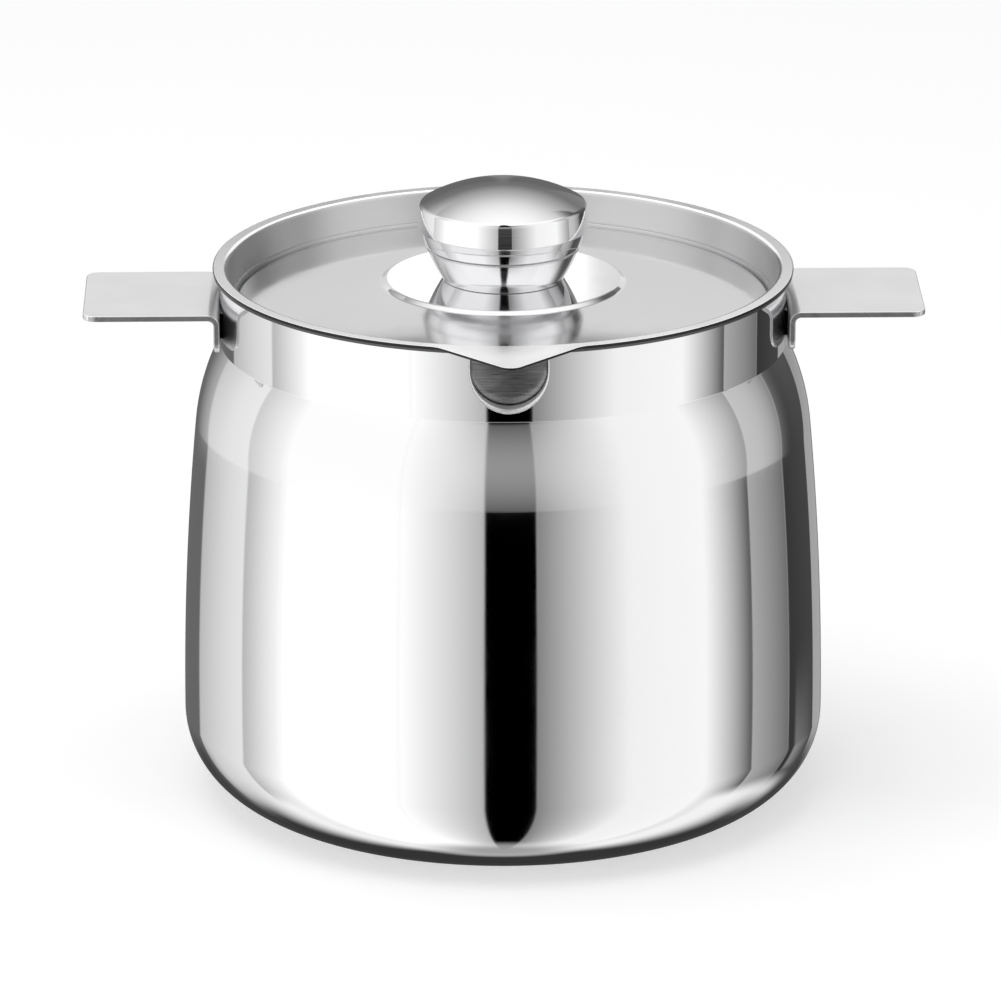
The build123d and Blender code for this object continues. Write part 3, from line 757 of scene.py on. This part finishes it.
class OILPOT_OT_handles(bpy.types.Operator):
    """Builds the two bent handle strips"""
    bl_idname = "oil_pot.handles"
    bl_label = "Handles"

    def execute(self, context):
        s = context.scene.oil_pot_handles
        finishes = context.scene.oil_pot_finishes
        steel = satin_strip("handle_satin", finishes.handle_colour, finishes.handle_roughness)
        edge = cut_steel("handle_edge", finishes.handle_edge_colour, finishes.edge_roughness)
        for side, name in ((1, "right"), (-1, "left")):
            made = Skin()
            self.strip(made, s, context.scene.oil_pot_pot.neck_radius)
            if side < 0:
                made.mirror()
            strip = made.piece(f"{name}_handle_strip", "pot", "handle_satin", steel, f"{name}_handle")
            strip.data.materials.append(edge)
            for face in strip.data.polygons:
                at_end = abs(face.center.x) > handle_high.x - s.edge / 2
                if at_end or abs(face.normal.y) > SIDE_FACING:
                    face.material_index = 1
        return {"FINISHED"}

    def strip(self, made, s, neck):
        """A strip with rounded edges that runs up the neck and then out, and its weld pad."""
        foot, top, end = handle_low.z, handle_high.z, handle_high.x
        middle, level = neck + s.sheet / 2, top - s.sheet / 2
        radius = s.bend + s.sheet / 2
        leg = level - radius - foot
        turn = radius * pi / 2
        total = leg + turn + end - middle - radius
        half = s.width / 2

        def bent(along, across, rise, heading):
            """Place and direction of a point of the flat strip once it is bent."""
            if along <= leg:
                place, facing = (middle, foot + along), (-1.0, 0.0)
            elif along >= leg + turn:
                place, facing = (middle + radius + along - leg - turn, level), (0.0, 1.0)
            else:
                a = (along - leg) / radius
                place = (middle + radius - radius * cos(a), level - radius + radius * sin(a))
                facing = (-cos(a), sin(a))
            forward, sideways, up = heading
            normal = (facing[1] * forward + facing[0] * up, sideways, facing[1] * up - facing[0] * forward)
            return (place[0] + facing[0] * rise, across, place[1] + facing[1] * rise), normal

        swing = swept(0, 90, STRIP_CORNER_STEPS)
        marks = []
        for a in swing:
            inset = s.foot_corner * (1 - sin(a))
            marks.append((s.foot_corner * (1 - cos(a)), half - inset, -cos(a), sin(a)))
        marks += [(along, half, 0.0, 1.0) for along in steps(leg, leg + turn, STRIP_BEND_STEPS)]
        for a in swing:
            inset = s.corner * (1 - cos(a))
            marks.append((total - s.corner + s.corner * sin(a), half - inset, sin(a), cos(a)))
        quarter = swept(0, 90, STRIP_EDGE_STEPS)
        rise = s.sheet / 2 - s.edge
        profile = [(-rise, -a) for a in reversed(quarter)] + [(rise, a) for a in quarter]
        rows = []
        for along, across, forward, sideways in marks:
            right, left = [], []
            for base, a in profile:
                inset = s.edge * (1 - cos(a))
                u, v, w = along - inset * forward, across - inset * sideways, base + s.edge * sin(a)
                right.append(bent(u, v, w, (cos(a) * forward, cos(a) * sideways, sin(a))))
                left.append(bent(u, -v, w, (cos(a) * forward, -cos(a) * sideways, sin(a))))
            rows.append(made.row(right + left[::-1]))
        for lower, upper in zip(rows, rows[1:]):
            made.join(lower, upper)
        for row, turned_over in ((rows[0], True), (rows[-1], False)):
            for k in range(len(profile) - 1):
                corners = (row[k], row[k + 1], row[-2 - k], row[-1 - k])
                made.face(*(reversed(corners) if turned_over else corners))
        self.weld(made, s, neck, foot + s.weld_margin, top - s.bend - s.sheet)

    def weld(self, made, s, neck, low, high):
        """The pad that fills the gap between the flat leg and the round neck."""
        flat = (1, 0, 0)
        rows = []
        for y in steps(-s.weld_width / 2, s.weld_width / 2, WELD_STEPS):
            back = sqrt(neck ** 2 - y ** 2)
            out = (-back, -y, 0)
            rows.append(made.row([((neck, y, low), flat), ((back, y, low), out),
                                  ((back, y, high), out), ((neck, y, high), flat)]))
        for lower, upper in zip(rows, rows[1:]):
            made.join(lower, upper)


class OILPOT_OT_strainer(bpy.types.Operator):
    """Builds the strainer's sheet with its V-shaped lip, and dresses its disc and ring"""
    bl_idname = "oil_pot.strainer"
    bl_label = "Strainer"

    def plan(self, s):
        """The flange's outline seen from above, with its outward direction, from the lip's middle round."""
        flank = pi / 2 - s.lip_half_angle
        tip = s.rim_radius + s.lip_reach - s.lip_tip
        reach = tip * sin(s.lip_half_angle) + s.lip_tip
        root_reach = s.rim_radius + s.lip_root
        root = flank - acos((reach + s.lip_root) / root_reach)
        middle_x, middle_front = root_reach * sin(root), root_reach * cos(root)
        marks = []
        for a in steps(0, flank, TIP_STEPS):
            marks.append((s.lip_tip * sin(a), tip + s.lip_tip * cos(a), a))
        bend = []
        for a in steps(flank, root, ROOT_STEPS):
            bend.append((middle_x - s.lip_root * sin(a), middle_front - s.lip_root * cos(a), a))
        start, end = marks[-1], bend[0]
        for t in steps(0, 1, FLANK_STEPS)[1:]:
            marks.append((start[0] + (end[0] - start[0]) * t, start[1] + (end[1] - start[1]) * t, flank))
        marks += bend[1:]
        for a in steps(root, pi, FLANGE_STEPS)[1:]:
            marks.append((s.rim_radius * sin(a), s.rim_radius * cos(a), a))
        marks += [(-x, front, -a) for x, front, a in reversed(marks[1:-1])]
        return marks

    def execute(self, context):
        s = context.scene.oil_pot_strainer
        finishes = context.scene.oil_pot_finishes
        marks = self.plan(s)
        angles = [atan2(x, front) for x, front, facing in marks]
        below = s.top - s.sheet
        bottom = s.top - s.seat_depth - s.cup_depth
        floor = bottom + s.sheet
        cup_low = s.wall_radius - s.draft
        opening = cup_low - s.ledge_width
        flat_in = s.wall_radius + s.rim_bend + s.sheet + FLANGE_RUN
        outline = rounded(
            (flat_in, s.top),
            (s.wall_radius, s.top, s.rim_bend + s.sheet),
            (cup_low, floor, s.cup_bend),
            (opening, floor, s.edge / 2),
            (opening, bottom, s.edge / 2),
            (cup_low + s.sheet, bottom, s.cup_bend + s.sheet),
            (s.wall_radius + s.sheet, below, s.rim_bend),
            (flat_in + s.sheet, below),
        )
        made = Skin()
        rows = [made.ring(mark, angles) for mark in outline]
        for first, last, height in ((-90, 0, below + s.edge), (0, 90, s.top - s.edge)):
            for a in swept(first, last, FLANGE_EDGE_STEPS):
                rows.append(made.row([self.flange_edge(s, mark, a, height) for mark in marks]))
        for lower, upper in zip(rows, rows[1:] + rows[:1]):
            made.join(lower, upper)
        # The inside's colour is a steel grey darkened as painted shade
        inside = rubbed_steel("strainer_inside", finishes.strainer_tone_and_shade, finishes.wall_roughness,
                              finishes.wall_anisotropy)
        sheet = made.piece("strainer_sheet", "strainer", "strainer_satin", inside, "strainer_basket")
        # The outside's dark colour is painted shade for the pour hole
        outside = brushed_steel("strainer_outside_shade", finishes.shaded_outside_colour, finishes.strainer_roughness,
                                OUTSIDE_GRAIN, OUTSIDE_CONTRAST)
        flange = mirror_steel("strainer_flange", finishes.flange_colour, finishes.flange_roughness,
                              SMALL_WAVES)
        # The flange edge's near-black colour is painted shadow
        edge = cut_steel("strainer_edge_shadow", finishes.flange_gap_shadow_colour, finishes.edge_roughness)
        for material in (outside, flange, edge):
            sheet.data.materials.append(material)
        for face in sheet.data.polygons:
            across = hypot(face.center.x, face.center.y)
            facing_out = face.normal.x * face.center.x + face.normal.y * face.center.y > 0
            if across > flat_in and face.center.z > below:
                face.material_index = 3 if abs(face.normal.z) < TOP_FACING else 2
            elif face.center.z > s.top - s.sheet / 2:
                face.material_index = 2
            elif facing_out:
                face.material_index = 1
        self.seat(s, inside)
        disc = brushed_steel("strainer_disc", finishes.strainer_tone_and_shade, finishes.strainer_roughness,
                             DISC_GRAIN, DISC_CONTRAST)
        dress_node("strainer_plate", disc)
        dress_node("strainer_ring", disc)
        return {"FINISHED"}

    def seat(self, s, material):
        """The bent ring in the wall that the lid sits in."""
        ledge = s.top - s.seat_depth
        under, high = ledge - s.sheet, ledge + s.seat_edge
        corner = s.wall_at(ledge) - s.sheet
        outline = rounded(
            (s.wall_at(ledge), ledge),
            (s.wall_at(high), high, s.edge / 3),
            (s.wall_at(high) - s.sheet, high, s.edge),
            (corner, ledge, s.seat_bend),
            (corner - s.seat_width, ledge, s.edge),
            (corner - s.seat_width, under, s.edge / 3),
            (s.wall_at(under), under, s.seat_bend + s.sheet),
            (s.wall_at(ledge), ledge),
        )
        made = Skin()
        made.turned(outline[:-1], all_round(LID_COLUMNS), closed=True)
        made.piece("lid_seat_ring", "strainer", "strainer_satin", material, "lid_seat")

    def flange_edge(self, s, mark, angle, height):
        """A point on the flange's rounded edge, and its direction."""
        x, front, facing = mark
        out = s.edge * (cos(angle) - 1)
        place = (x + out * sin(facing), -(front + out * cos(facing)), height + s.edge * sin(angle))
        return place, (cos(angle) * sin(facing), -cos(angle) * cos(facing), sin(angle))


class OILPOT_OT_lid(bpy.types.Operator):
    """Builds the domed lid with its pad"""
    bl_idname = "oil_pot.lid"
    bl_label = "Lid"

    def execute(self, context):
        s = context.scene.oil_pot_lid
        finishes = context.scene.oil_pot_finishes
        seat = lid_low.z
        edge_top = seat + s.sheet
        pad_foot = edge_top + s.rise
        pad_top = pad_foot + s.pad_step
        across = s.radius ** 2 - s.pad_radius ** 2
        centre = (across + edge_top ** 2 - pad_foot ** 2) / (2 * (edge_top - pad_foot))
        sweep = hypot(s.radius, edge_top - centre)
        near_edge = s.radius - 2 * s.edge
        near_pad = s.pad_radius + 2 * s.pad_rounding
        upper = arc((0, centre), sweep, acos(near_edge / sweep), acos(near_pad / sweep), LID_STEP)
        seat_in = s.radius - s.seat_ring
        under = sweep - s.sheet
        near_seat = seat_in - SEAT_RUN
        lower = flipped(arc((0, centre), under, acos(near_seat / under), acos(near_pad / under), LID_STEP))
        pad_low = pad_top - s.sheet
        flat = s.pad_radius - s.pad_ramp
        drop = centre + sqrt(under ** 2 - s.pad_radius ** 2)
        rim = rounded(
            (seat_in, lower[-1][1]),
            (seat_in, seat, s.edge / 2),
            (s.radius, seat, s.edge / 2),
            (s.radius, edge_top, s.edge),
            upper[0][:2],
        )
        pad = rounded(
            upper[-1][:2],
            (s.pad_radius, pad_foot, s.pad_rounding),
            (flat, pad_top, s.pad_rounding),
            (s.hole_radius, pad_top, s.edge / 3),
            (s.hole_radius, pad_low, s.edge / 3),
            (flat, pad_low, s.pad_rounding / 2),
            (s.pad_radius, drop, s.pad_rounding),
            lower[0][:2],
        )
        made = Skin()
        made.turned(rim[1:-1] + upper + pad[1:-1] + lower[:-1], all_round(LID_COLUMNS), closed=True)
        polish = mirror_steel("lid_polish", finishes.lid_colour, finishes.lid_roughness, SMALL_WAVES)
        dome = made.piece("lid_dome", "lid", "lid_polish", polish, "lid_disc")
        pad_polish = mirror_steel("pad_polish", finishes.pad_colour, finishes.pad_roughness, SMALL_WAVES)
        dome.data.materials.append(pad_polish)
        for face in dome.data.polygons:
            if hypot(face.center.x, face.center.y) < s.pad_radius + s.pad_rounding:
                face.material_index = 1
        return {"FINISHED"}


class OILPOT_OT_knob(bpy.types.Operator):
    """Builds the knob's bowl and cap"""
    bl_idname = "oil_pot.knob"
    bl_label = "Knob"

    def execute(self, context):
        s = context.scene.oil_pot_knob
        finishes = context.scene.oil_pot_finishes
        foot, mouth = bowl_low.z, bowl_high.z
        across, tall = s.mouth_radius - s.foot_radius, mouth - foot
        chord = hypot(across, tall)
        sweep = (chord ** 2 / 4 + s.side_bulge ** 2) / (2 * s.side_bulge)
        back = sweep - s.side_bulge
        centre = (s.foot_radius + across / 2 - back * tall / chord, foot + tall / 2 + back * across / chord)

        def side(low, high, inset):
            """The flared side between two heights, on the outer face or set in from it."""
            reach = sweep - inset
            first, last = (asin((height - centre[1]) / reach) for height in (low, high))
            return arc(centre, reach, first, last, BOWL_STEP)

        def radius_at(height, inset):
            """Radius of the flared side at a height."""
            return centre[0] + sqrt((sweep - inset) ** 2 - (height - centre[1]) ** 2)

        waist = foot + s.groove_height
        soft = s.groove / 3
        floor = foot + s.sheet
        low_side = side(foot + 2 * s.edge, waist - s.groove - soft, 0)
        high_side = side(waist + s.groove + soft, mouth - 2 * soft, 0)
        inner = flipped(side(floor + soft, mouth - 2 * soft, s.sheet))
        under = rounded(
            (s.hole_radius, foot + soft),
            (s.hole_radius, foot, soft / 2),
            (radius_at(foot, 0), foot, s.edge),
            low_side[0][:2],
        )
        bottom = radius_at(waist, s.groove)
        notch = rounded(
            low_side[-1][:2],
            (radius_at(waist - s.groove, 0), waist - s.groove, soft),
            (bottom, waist - s.groove, soft),
            (bottom, waist + s.groove, soft),
            (radius_at(waist + s.groove, 0), waist + s.groove, soft),
            high_side[0][:2],
        )
        lip = rounded(
            high_side[-1][:2],
            (radius_at(mouth, 0), mouth, soft),
            (radius_at(mouth, s.sheet), mouth, soft),
            inner[0][:2],
        )
        well = rounded(
            inner[-1][:2],
            (radius_at(floor, s.sheet), floor, soft / 2),
            (s.hole_radius, floor, soft / 2),
            (s.hole_radius, foot + soft),
        )
        made = Skin()
        outline = under[:-1] + low_side + notch[1:-1] + high_side + lip[1:-1] + inner + well[1:-1]
        made.turned(outline, all_round(KNOB_COLUMNS), closed=True)
        steel = mirror_steel("knob_polish", finishes.knob_colour, finishes.knob_roughness, SMALL_WAVES)
        made.piece("knob_bowl_shell", "lid", "knob_polish", steel, "knob_bowl")
        self.cap(s, steel, mouth, radius_at(mouth - s.skirt, s.sheet) - s.skirt_clearance)
        return {"FINISHED"}

    def cap(self, s, steel, mouth, skirt):
        """The domed cap with its band and the skirt that plugs into the bowl."""
        band_top = mouth + s.band_height
        crown = band_top + s.dome_height
        seam = s.mouth_radius + s.seam_overhang
        band = seam - s.band_taper
        sweep = (band ** 2 + s.dome_height ** 2) / (2 * s.dome_height)
        centre = crown - sweep
        inner = band - s.sheet
        under = sweep - s.sheet
        soft = s.edge / 4
        near = band - DOME_START * s.shoulder
        dome = arc((0, centre), sweep, acos(near / sweep), pi / 2, DOME_STEP)
        hollow = flipped(arc((0, centre), under, acos((inner - soft) / under), pi / 2, HOLLOW_STEP))
        outside = rounded(
            (skirt, mouth - s.skirt + soft),
            (skirt, mouth, soft),
            (seam, mouth, s.seam_edge),
            (band, band_top, s.shoulder),
            dome[0][:2],
        )
        inside = rounded(
            hollow[-1][:2],
            (inner, centre + sqrt(under ** 2 - inner ** 2), soft),
            (seam - s.sheet, mouth + s.sheet, soft),
            (skirt - s.sheet, mouth + s.sheet, soft),
            (skirt - s.sheet, mouth - s.skirt, soft),
            (skirt, mouth - s.skirt, soft),
            (skirt, mouth - s.skirt + soft),
        )
        made = Skin()
        rows = made.turned(outside[:-1] + dome, all_round(KNOB_COLUMNS))
        more = made.turned(hollow + inside[1:], all_round(KNOB_COLUMNS))
        made.join(more[-1], rows[0])
        made.piece("knob_cap_shell", "lid", "knob_polish", steel, "knob_cap")


class OILPOT_OT_fasteners(bpy.types.Operator):
    """Gives the screw, the washers and the boss their plated finish"""
    bl_idname = "oil_pot.fasteners"
    bl_label = "Fasteners"

    def execute(self, context):
        finishes = context.scene.oil_pot_finishes
        plated = plated_steel("fastener_steel", finishes.fastener_colour, finishes.fastener_roughness)
        for node in ("knob_insert", "knob_screw", "flat_washer", "spring_washer"):
            dress_node(node, plated)
        return {"FINISHED"}


# Light panels and flags that only the metal mirrors, each over those before it: name, azimuth from and to,
# elevation from and to, level at both azimuths, softness of the edges across and up, in degrees.
# Azimuth 0 is the camera's side, and to the right of it is more.
PANELS = (
    ("overhead box", -180, 180, 46, 90, 1.2, 1.2, 0, 24),
    ("left far card", -180, -141.5, -60, 24, 0.14, 0.15, 4, 24),
    ("left far wing", -141.5, -107.5, -70, 42, 0.62, 0.93, 1.2, 14),
    ("left grey wing", -107.5, -87, -70, 42, 0.55, 1.12, 1.2, 14),
    ("left soft box", -87, -37, -78, 60, 1.22, 1.22, 4, 16),
    ("left fade", -37, -6.7, -78, 60, 1.22, 0.54, 1.2, 16),
    ("right fade", 12.1, 46, -78, 60, 0.27, 1.05, 1.2, 16),
    ("right soft box", 46, 78, -78, 60, 1.05, 1.12, 2, 16),
    ("right wing", 78, 101, -70, 42, 1.08, 0.08, 1.2, 14),
    ("right grey card", 101, 125, -70, 42, 0.46, 0.18, 1.2, 14),
    ("right dark card", 125, 151, -70, 42, 0.04, 0.05, 1.2, 14),
    ("right far wing", 151, 168, -60, 24, 0.44, 0.44, 1.2, 24),
    ("right far card", 168, 180, -60, 24, 0.16, 0.14, 4, 24),
    ("back shade", 132, 228, 2, 45, 0.15, 0.15, 30, 70),
    ("right floor", 84, 196, -90, -34, 1.08, 1.0, 16, 10),
    ("left floor", 164, 268, -90, -40, 1.0, 1.1, 24, 12),
    ("right low strip", 131, 149, -30, -20, 0.3, 0.1, 3, 4),
    ("back edge", 143, 217, -48, -24, 0.06, 0.06, 24, 8),
    ("back floor", 123, 237, -80, -40, 0.04, 0.04, 46, 16),
    ("floor patch", -180, 180, -90, -79, 0.42, 0.42, 0, 14),
    ("front flag", -6.7, 12.1, -79, 78, 0.0, 0.0, 1.2, 20),
)
# A thin white veil in front of them: azimuth and elevation from and to, softness of its edges across and up,
# how far its lower edge sinks towards the back, cover at the edges, in the middle and at the sides, level
VEIL = (-150, 120, -6.5, 38, 30, 0.8, 11.3, 0.12, 0.31, 0.4, 1.1)
# Level of the white background where no panel covers it
OPEN_LEVEL = 1.0
# Least softness of an edge, and an elevation beyond the poles for panels that run over one, in degrees
LEAST_SOFTNESS = 0.5
PAST_POLE = 120
# Cards behind the pot that only some pieces mirror: name, azimuth, elevation, width and height in degrees,
# level, pieces
CARDS = (
    ("lid_card", 180, 12, 50, 36, 0.6, ("lid_dome",)),
    ("pad_card", 180, 18.2, 4.4, 5, 0.6, ("lid_dome",)),
    ("rim_card", 180, 39.3, 70, 44, 0.9, ("strainer_sheet",)),
    ("handle_card", 180, 28, 90, 60, 0.58, ("right_handle_strip", "left_handle_strip")),
)
CARD_DISTANCE = 3.0
POT_MIDDLE = Vector((0, 0, 0.08))
LAMP_PLACE = Vector((-0.25, -0.2, 1.7))
SENSOR_WIDTH = 36.0
NEAREST, FARTHEST = 0.05, 50.0


def outward(azimuth, elevation):
    """The direction from the pot at an azimuth and an elevation."""
    return Vector((cos(elevation) * sin(azimuth), -cos(elevation) * cos(azimuth), sin(elevation)))


def placed(context, name, data):
    """A new object of the studio."""
    made = bpy.data.objects.new(name, data)
    context.scene.collection.objects.link(made)
    return made


class OILPOT_OT_studio(bpy.types.Operator):
    """Sets up the floor, the light and the camera"""
    bl_idname = "oil_pot.studio"
    bl_label = "Studio"

    def execute(self, context):
        s = context.scene.oil_pot_studio
        self.floor(context, s)
        self.background(context, s)
        self.panels(context, s)
        self.lamp(context, s)
        for card in CARDS:
            self.card(context, *card)
        self.camera(context, s)
        context.scene.view_settings.view_transform = "Standard"
        return {"FINISHED"}

    def floor(self, context, s):
        """A wide pale floor that keeps the pot's shadow."""
        finish = Finish("studio_floor")
        grain = finish.noise(finish.place, scale=3.0, detail=2.0)
        diffuse = finish.node("ShaderNodeBsdfDiffuse", finish.tint(s.floor_colour, grain, 0.01))
        light = finish.node("ShaderNodeLightPath")
        strength = finish.math("MULTIPLY", light.outputs["Is Camera Ray"], s.floor_glow)
        glow = finish.node("ShaderNodeEmission", WHITE, strength)
        finish.close(finish.node("ShaderNodeAddShader", diffuse.outputs[0], glow.outputs[0]))
        half = s.floor_half
        corners = [(-half, -half, 0), (half, -half, 0), (half, half, 0), (-half, half, 0)]
        mesh = bpy.data.meshes.new("studio_floor")
        mesh.from_pydata(corners, [], [(0, 1, 2, 3)])
        mesh.materials.append(finish.material)
        made = placed(context, "studio_floor", mesh)
        made.location.z = -s.floor_drop
        made.visible_glossy = False

    def background(self, context, s):
        """White to the camera and in the metal, and an even soft light on everything else."""
        world = bpy.data.worlds.new("studio_white")
        context.scene.world = world
        nodes = Nodes(world)
        path = nodes.node("ShaderNodeLightPath").outputs
        seen = nodes.math("MAXIMUM", path["Is Camera Ray"], path["Is Glossy Ray"])
        seen = nodes.math("MAXIMUM", seen, path["Is Transmission Ray"])
        level = nodes.spread(seen, 0.0, 1.0, s.ambient, OPEN_LEVEL)
        nodes.close(nodes.node("ShaderNodeBackground", WHITE, level), "ShaderNodeOutputWorld")

    def levels(self, azimuth, elevation):
        """Level of the light from each direction, and whether a panel is there."""
        level = np.full(azimuth.shape, OPEN_LEVEL)
        found = np.zeros(azimuth.shape, bool)

        def within(value, low, high, soft):
            """One between the marks and nothing outside, with soft edges."""
            soft = max(soft, LEAST_SOFTNESS) / 2
            rise = np.clip((value - low + soft) / (2 * soft), 0, 1)
            fall = np.clip((high + soft - value) / (2 * soft), 0, 1)
            cover = np.minimum(rise, fall)
            return cover * cover * (3 - 2 * cover)

        for panel in PANELS:
            start, end, low, high, first, last, soft, soft_up = panel[1:]
            half = (end - start) / 2
            offset = (azimuth - start - half + 180) % 360 - 180
            cover = within(offset, -half, half, soft) if half < 180 else np.ones(azimuth.shape)
            low = low if low > -90 else -PAST_POLE
            high = high if high < 90 else PAST_POLE
            cover *= within(elevation, low, high, soft_up)
            shade = first + (last - first) * np.clip((offset + half) / (2 * half), 0, 1)
            level += (shade - level) * cover
            found |= cover > 0
        start, end, low, high, soft, soft_up, sink, edge, middle, sides, white = VEIL
        aside = 1 - np.cos(np.radians(azimuth) / 2)
        low = low - sink * aside
        rise = np.clip((elevation - low) / (high - low), 0, 1)
        cover = np.maximum(edge + (middle - edge) * np.sin(pi * rise), sides * np.clip(2 * aside, 0, 1))
        cover *= within(azimuth, start, end, soft) * within(elevation, low, high, soft_up)
        level += (white - level) * cover
        return level, found

    def panels(self, context, s):
        """A shell of light panels round the pot, open where the white background shows."""
        columns = np.linspace(-180, 180, s.panel_columns + 1)
        rows = np.linspace(-90, 90, s.panel_columns // 2 + 1)
        azimuth, elevation = np.meshgrid(columns, rows)
        levels, found = self.levels(azimuth, elevation)
        a, e = np.radians(azimuth), np.radians(elevation)
        points = np.stack((np.cos(e) * np.sin(a), -np.cos(e) * np.cos(a), np.sin(e)), -1)
        points = points * s.panel_distance + np.array(POT_MIDDLE)
        number = np.arange(points.shape[0] * points.shape[1]).reshape(points.shape[:2])
        corners = np.stack((number[:-1, :-1], number[:-1, 1:], number[1:, 1:], number[1:, :-1]), -1)
        used = found[:-1, :-1] | found[:-1, 1:] | found[1:, 1:] | found[1:, :-1]
        mesh = bpy.data.meshes.new("studio_panels")
        mesh.from_pydata(points.reshape(-1, 3), [], corners[used])
        paint = mesh.color_attributes.new("level", "FLOAT_COLOR", "POINT")
        shades = np.repeat(levels.reshape(-1, 1), 4, 1)
        shades[:, 3] = 1
        paint.data.foreach_set("color", shades.astype(np.float32).ravel())
        finish = Finish("studio_panels")
        level = finish.node("ShaderNodeAttribute", attribute_name="level").outputs["Color"]
        finish.close(finish.node("ShaderNodeEmission", level))
        mesh.materials.append(finish.material)
        made = placed(context, "studio_panels", mesh)
        made.rotation_euler.z = s.camera_azimuth
        for ray in ("camera", "diffuse", "transmission", "volume_scatter", "shadow"):
            setattr(made, "visible_" + ray, False)

    def lamp(self, context, s):
        """A wide soft lamp overhead."""
        light = bpy.data.lights.new("overhead_lamp", "AREA")
        light.shape = "DISK"
        light.size = s.lamp_size
        light.energy = s.lamp_power
        made = placed(context, "overhead_lamp", light)
        made.location = LAMP_PLACE
        made.rotation_euler = (POT_MIDDLE - LAMP_PLACE).to_track_quat("-Z", "Y").to_euler()
        made.visible_glossy = False

    def card(self, context, name, azimuth, elevation, width, height, level, pieces):
        """A soft light behind the pot that only the named pieces mirror."""
        light = bpy.data.lights.new(name, "AREA")
        light.shape = "RECTANGLE"
        light.size = 2 * CARD_DISTANCE * tan(radians(width) / 2)
        light.size_y = 2 * CARD_DISTANCE * tan(radians(height) / 2)
        light.energy = level * pi * light.size * light.size_y
        made = placed(context, name, light)
        out = outward(radians(azimuth), radians(elevation))
        made.location = POT_MIDDLE + CARD_DISTANCE * out
        made.rotation_euler = out.to_track_quat("Z", "Y").to_euler()
        made.visible_camera = False
        lit = bpy.data.collections.new(name)
        for piece in pieces:
            lit.objects.link(bpy.data.objects[piece])
        made.light_linking.receiver_collection = lit

    def camera(self, context, s):
        """The camera at the photograph's angle."""
        lens = bpy.data.cameras.new("camera")
        lens.sensor_width = SENSOR_WIDTH
        lens.lens = s.camera_lens
        lens.clip_start, lens.clip_end = NEAREST, FARTHEST
        made = placed(context, "camera", lens)
        right = Vector((cos(s.camera_azimuth), sin(s.camera_azimuth), 0))
        back = outward(s.camera_azimuth, s.camera_elevation)
        aim = POT_MIDDLE - s.aim_left * right - s.aim_below * back.cross(right)
        made.location = aim + s.camera_distance * back
        made.rotation_euler = (-back).to_track_quat("-Z", "Y").to_euler()
        context.scene.camera = made


class OILPOT_PT_sidebar(bpy.types.Panel):
    """Lists the pot's sizes and the steps that build it"""
    bl_idname = "OILPOT_PT_sidebar"
    bl_label = "Oil pot"
    bl_space_type = "VIEW_3D"
    bl_region_type = "UI"
    bl_category = "Oil pot"

    def draw(self, context):
        for attribute, group, operators in STEPS:
            box = self.layout.box()
            box.label(text=group.__doc__)
            for key in group.__annotations__:
                box.prop(getattr(context.scene, attribute), key)
            for operator in operators:
                box.operator(operator.bl_idname)


STEPS = (
    ("oil_pot_finishes", OilPotFinishes, (OILPOT_OT_fasteners,)),
    ("oil_pot_pot", OilPotPotSizes, (OILPOT_OT_pot,)),
    ("oil_pot_handles", OilPotHandleSizes, (OILPOT_OT_handles,)),
    ("oil_pot_strainer", OilPotStrainerSizes, (OILPOT_OT_strainer,)),
    ("oil_pot_lid", OilPotLidSizes, (OILPOT_OT_lid,)),
    ("oil_pot_knob", OilPotKnobSizes, (OILPOT_OT_knob,)),
    ("oil_pot_studio", OilPotStudio, (OILPOT_OT_studio,)),
)


def register():
    """Adds the classes and hangs their settings on the scene."""
    for attribute, group, operators in STEPS:
        bpy.utils.register_class(group)
        setattr(bpy.types.Scene, attribute, PointerProperty(type=group))
        for operator in operators:
            bpy.utils.register_class(operator)
    bpy.utils.register_class(OILPOT_PT_sidebar)


def unregister():
    """Takes the classes and their settings away again."""
    bpy.utils.unregister_class(OILPOT_PT_sidebar)
    for attribute, group, operators in reversed(STEPS):
        for operator in operators:
            bpy.utils.unregister_class(operator)
        delattr(bpy.types.Scene, attribute)
        bpy.utils.unregister_class(group)


def main():
    """Builds every piece and the studio."""
    register()
    bpy.ops.oil_pot.pot()
    bpy.ops.oil_pot.handles()
    bpy.ops.oil_pot.strainer()
    bpy.ops.oil_pot.lid()
    bpy.ops.oil_pot.knob()
    bpy.ops.oil_pot.fasteners()
    bpy.ops.oil_pot.studio()


if __name__ == "__main__":
    main()
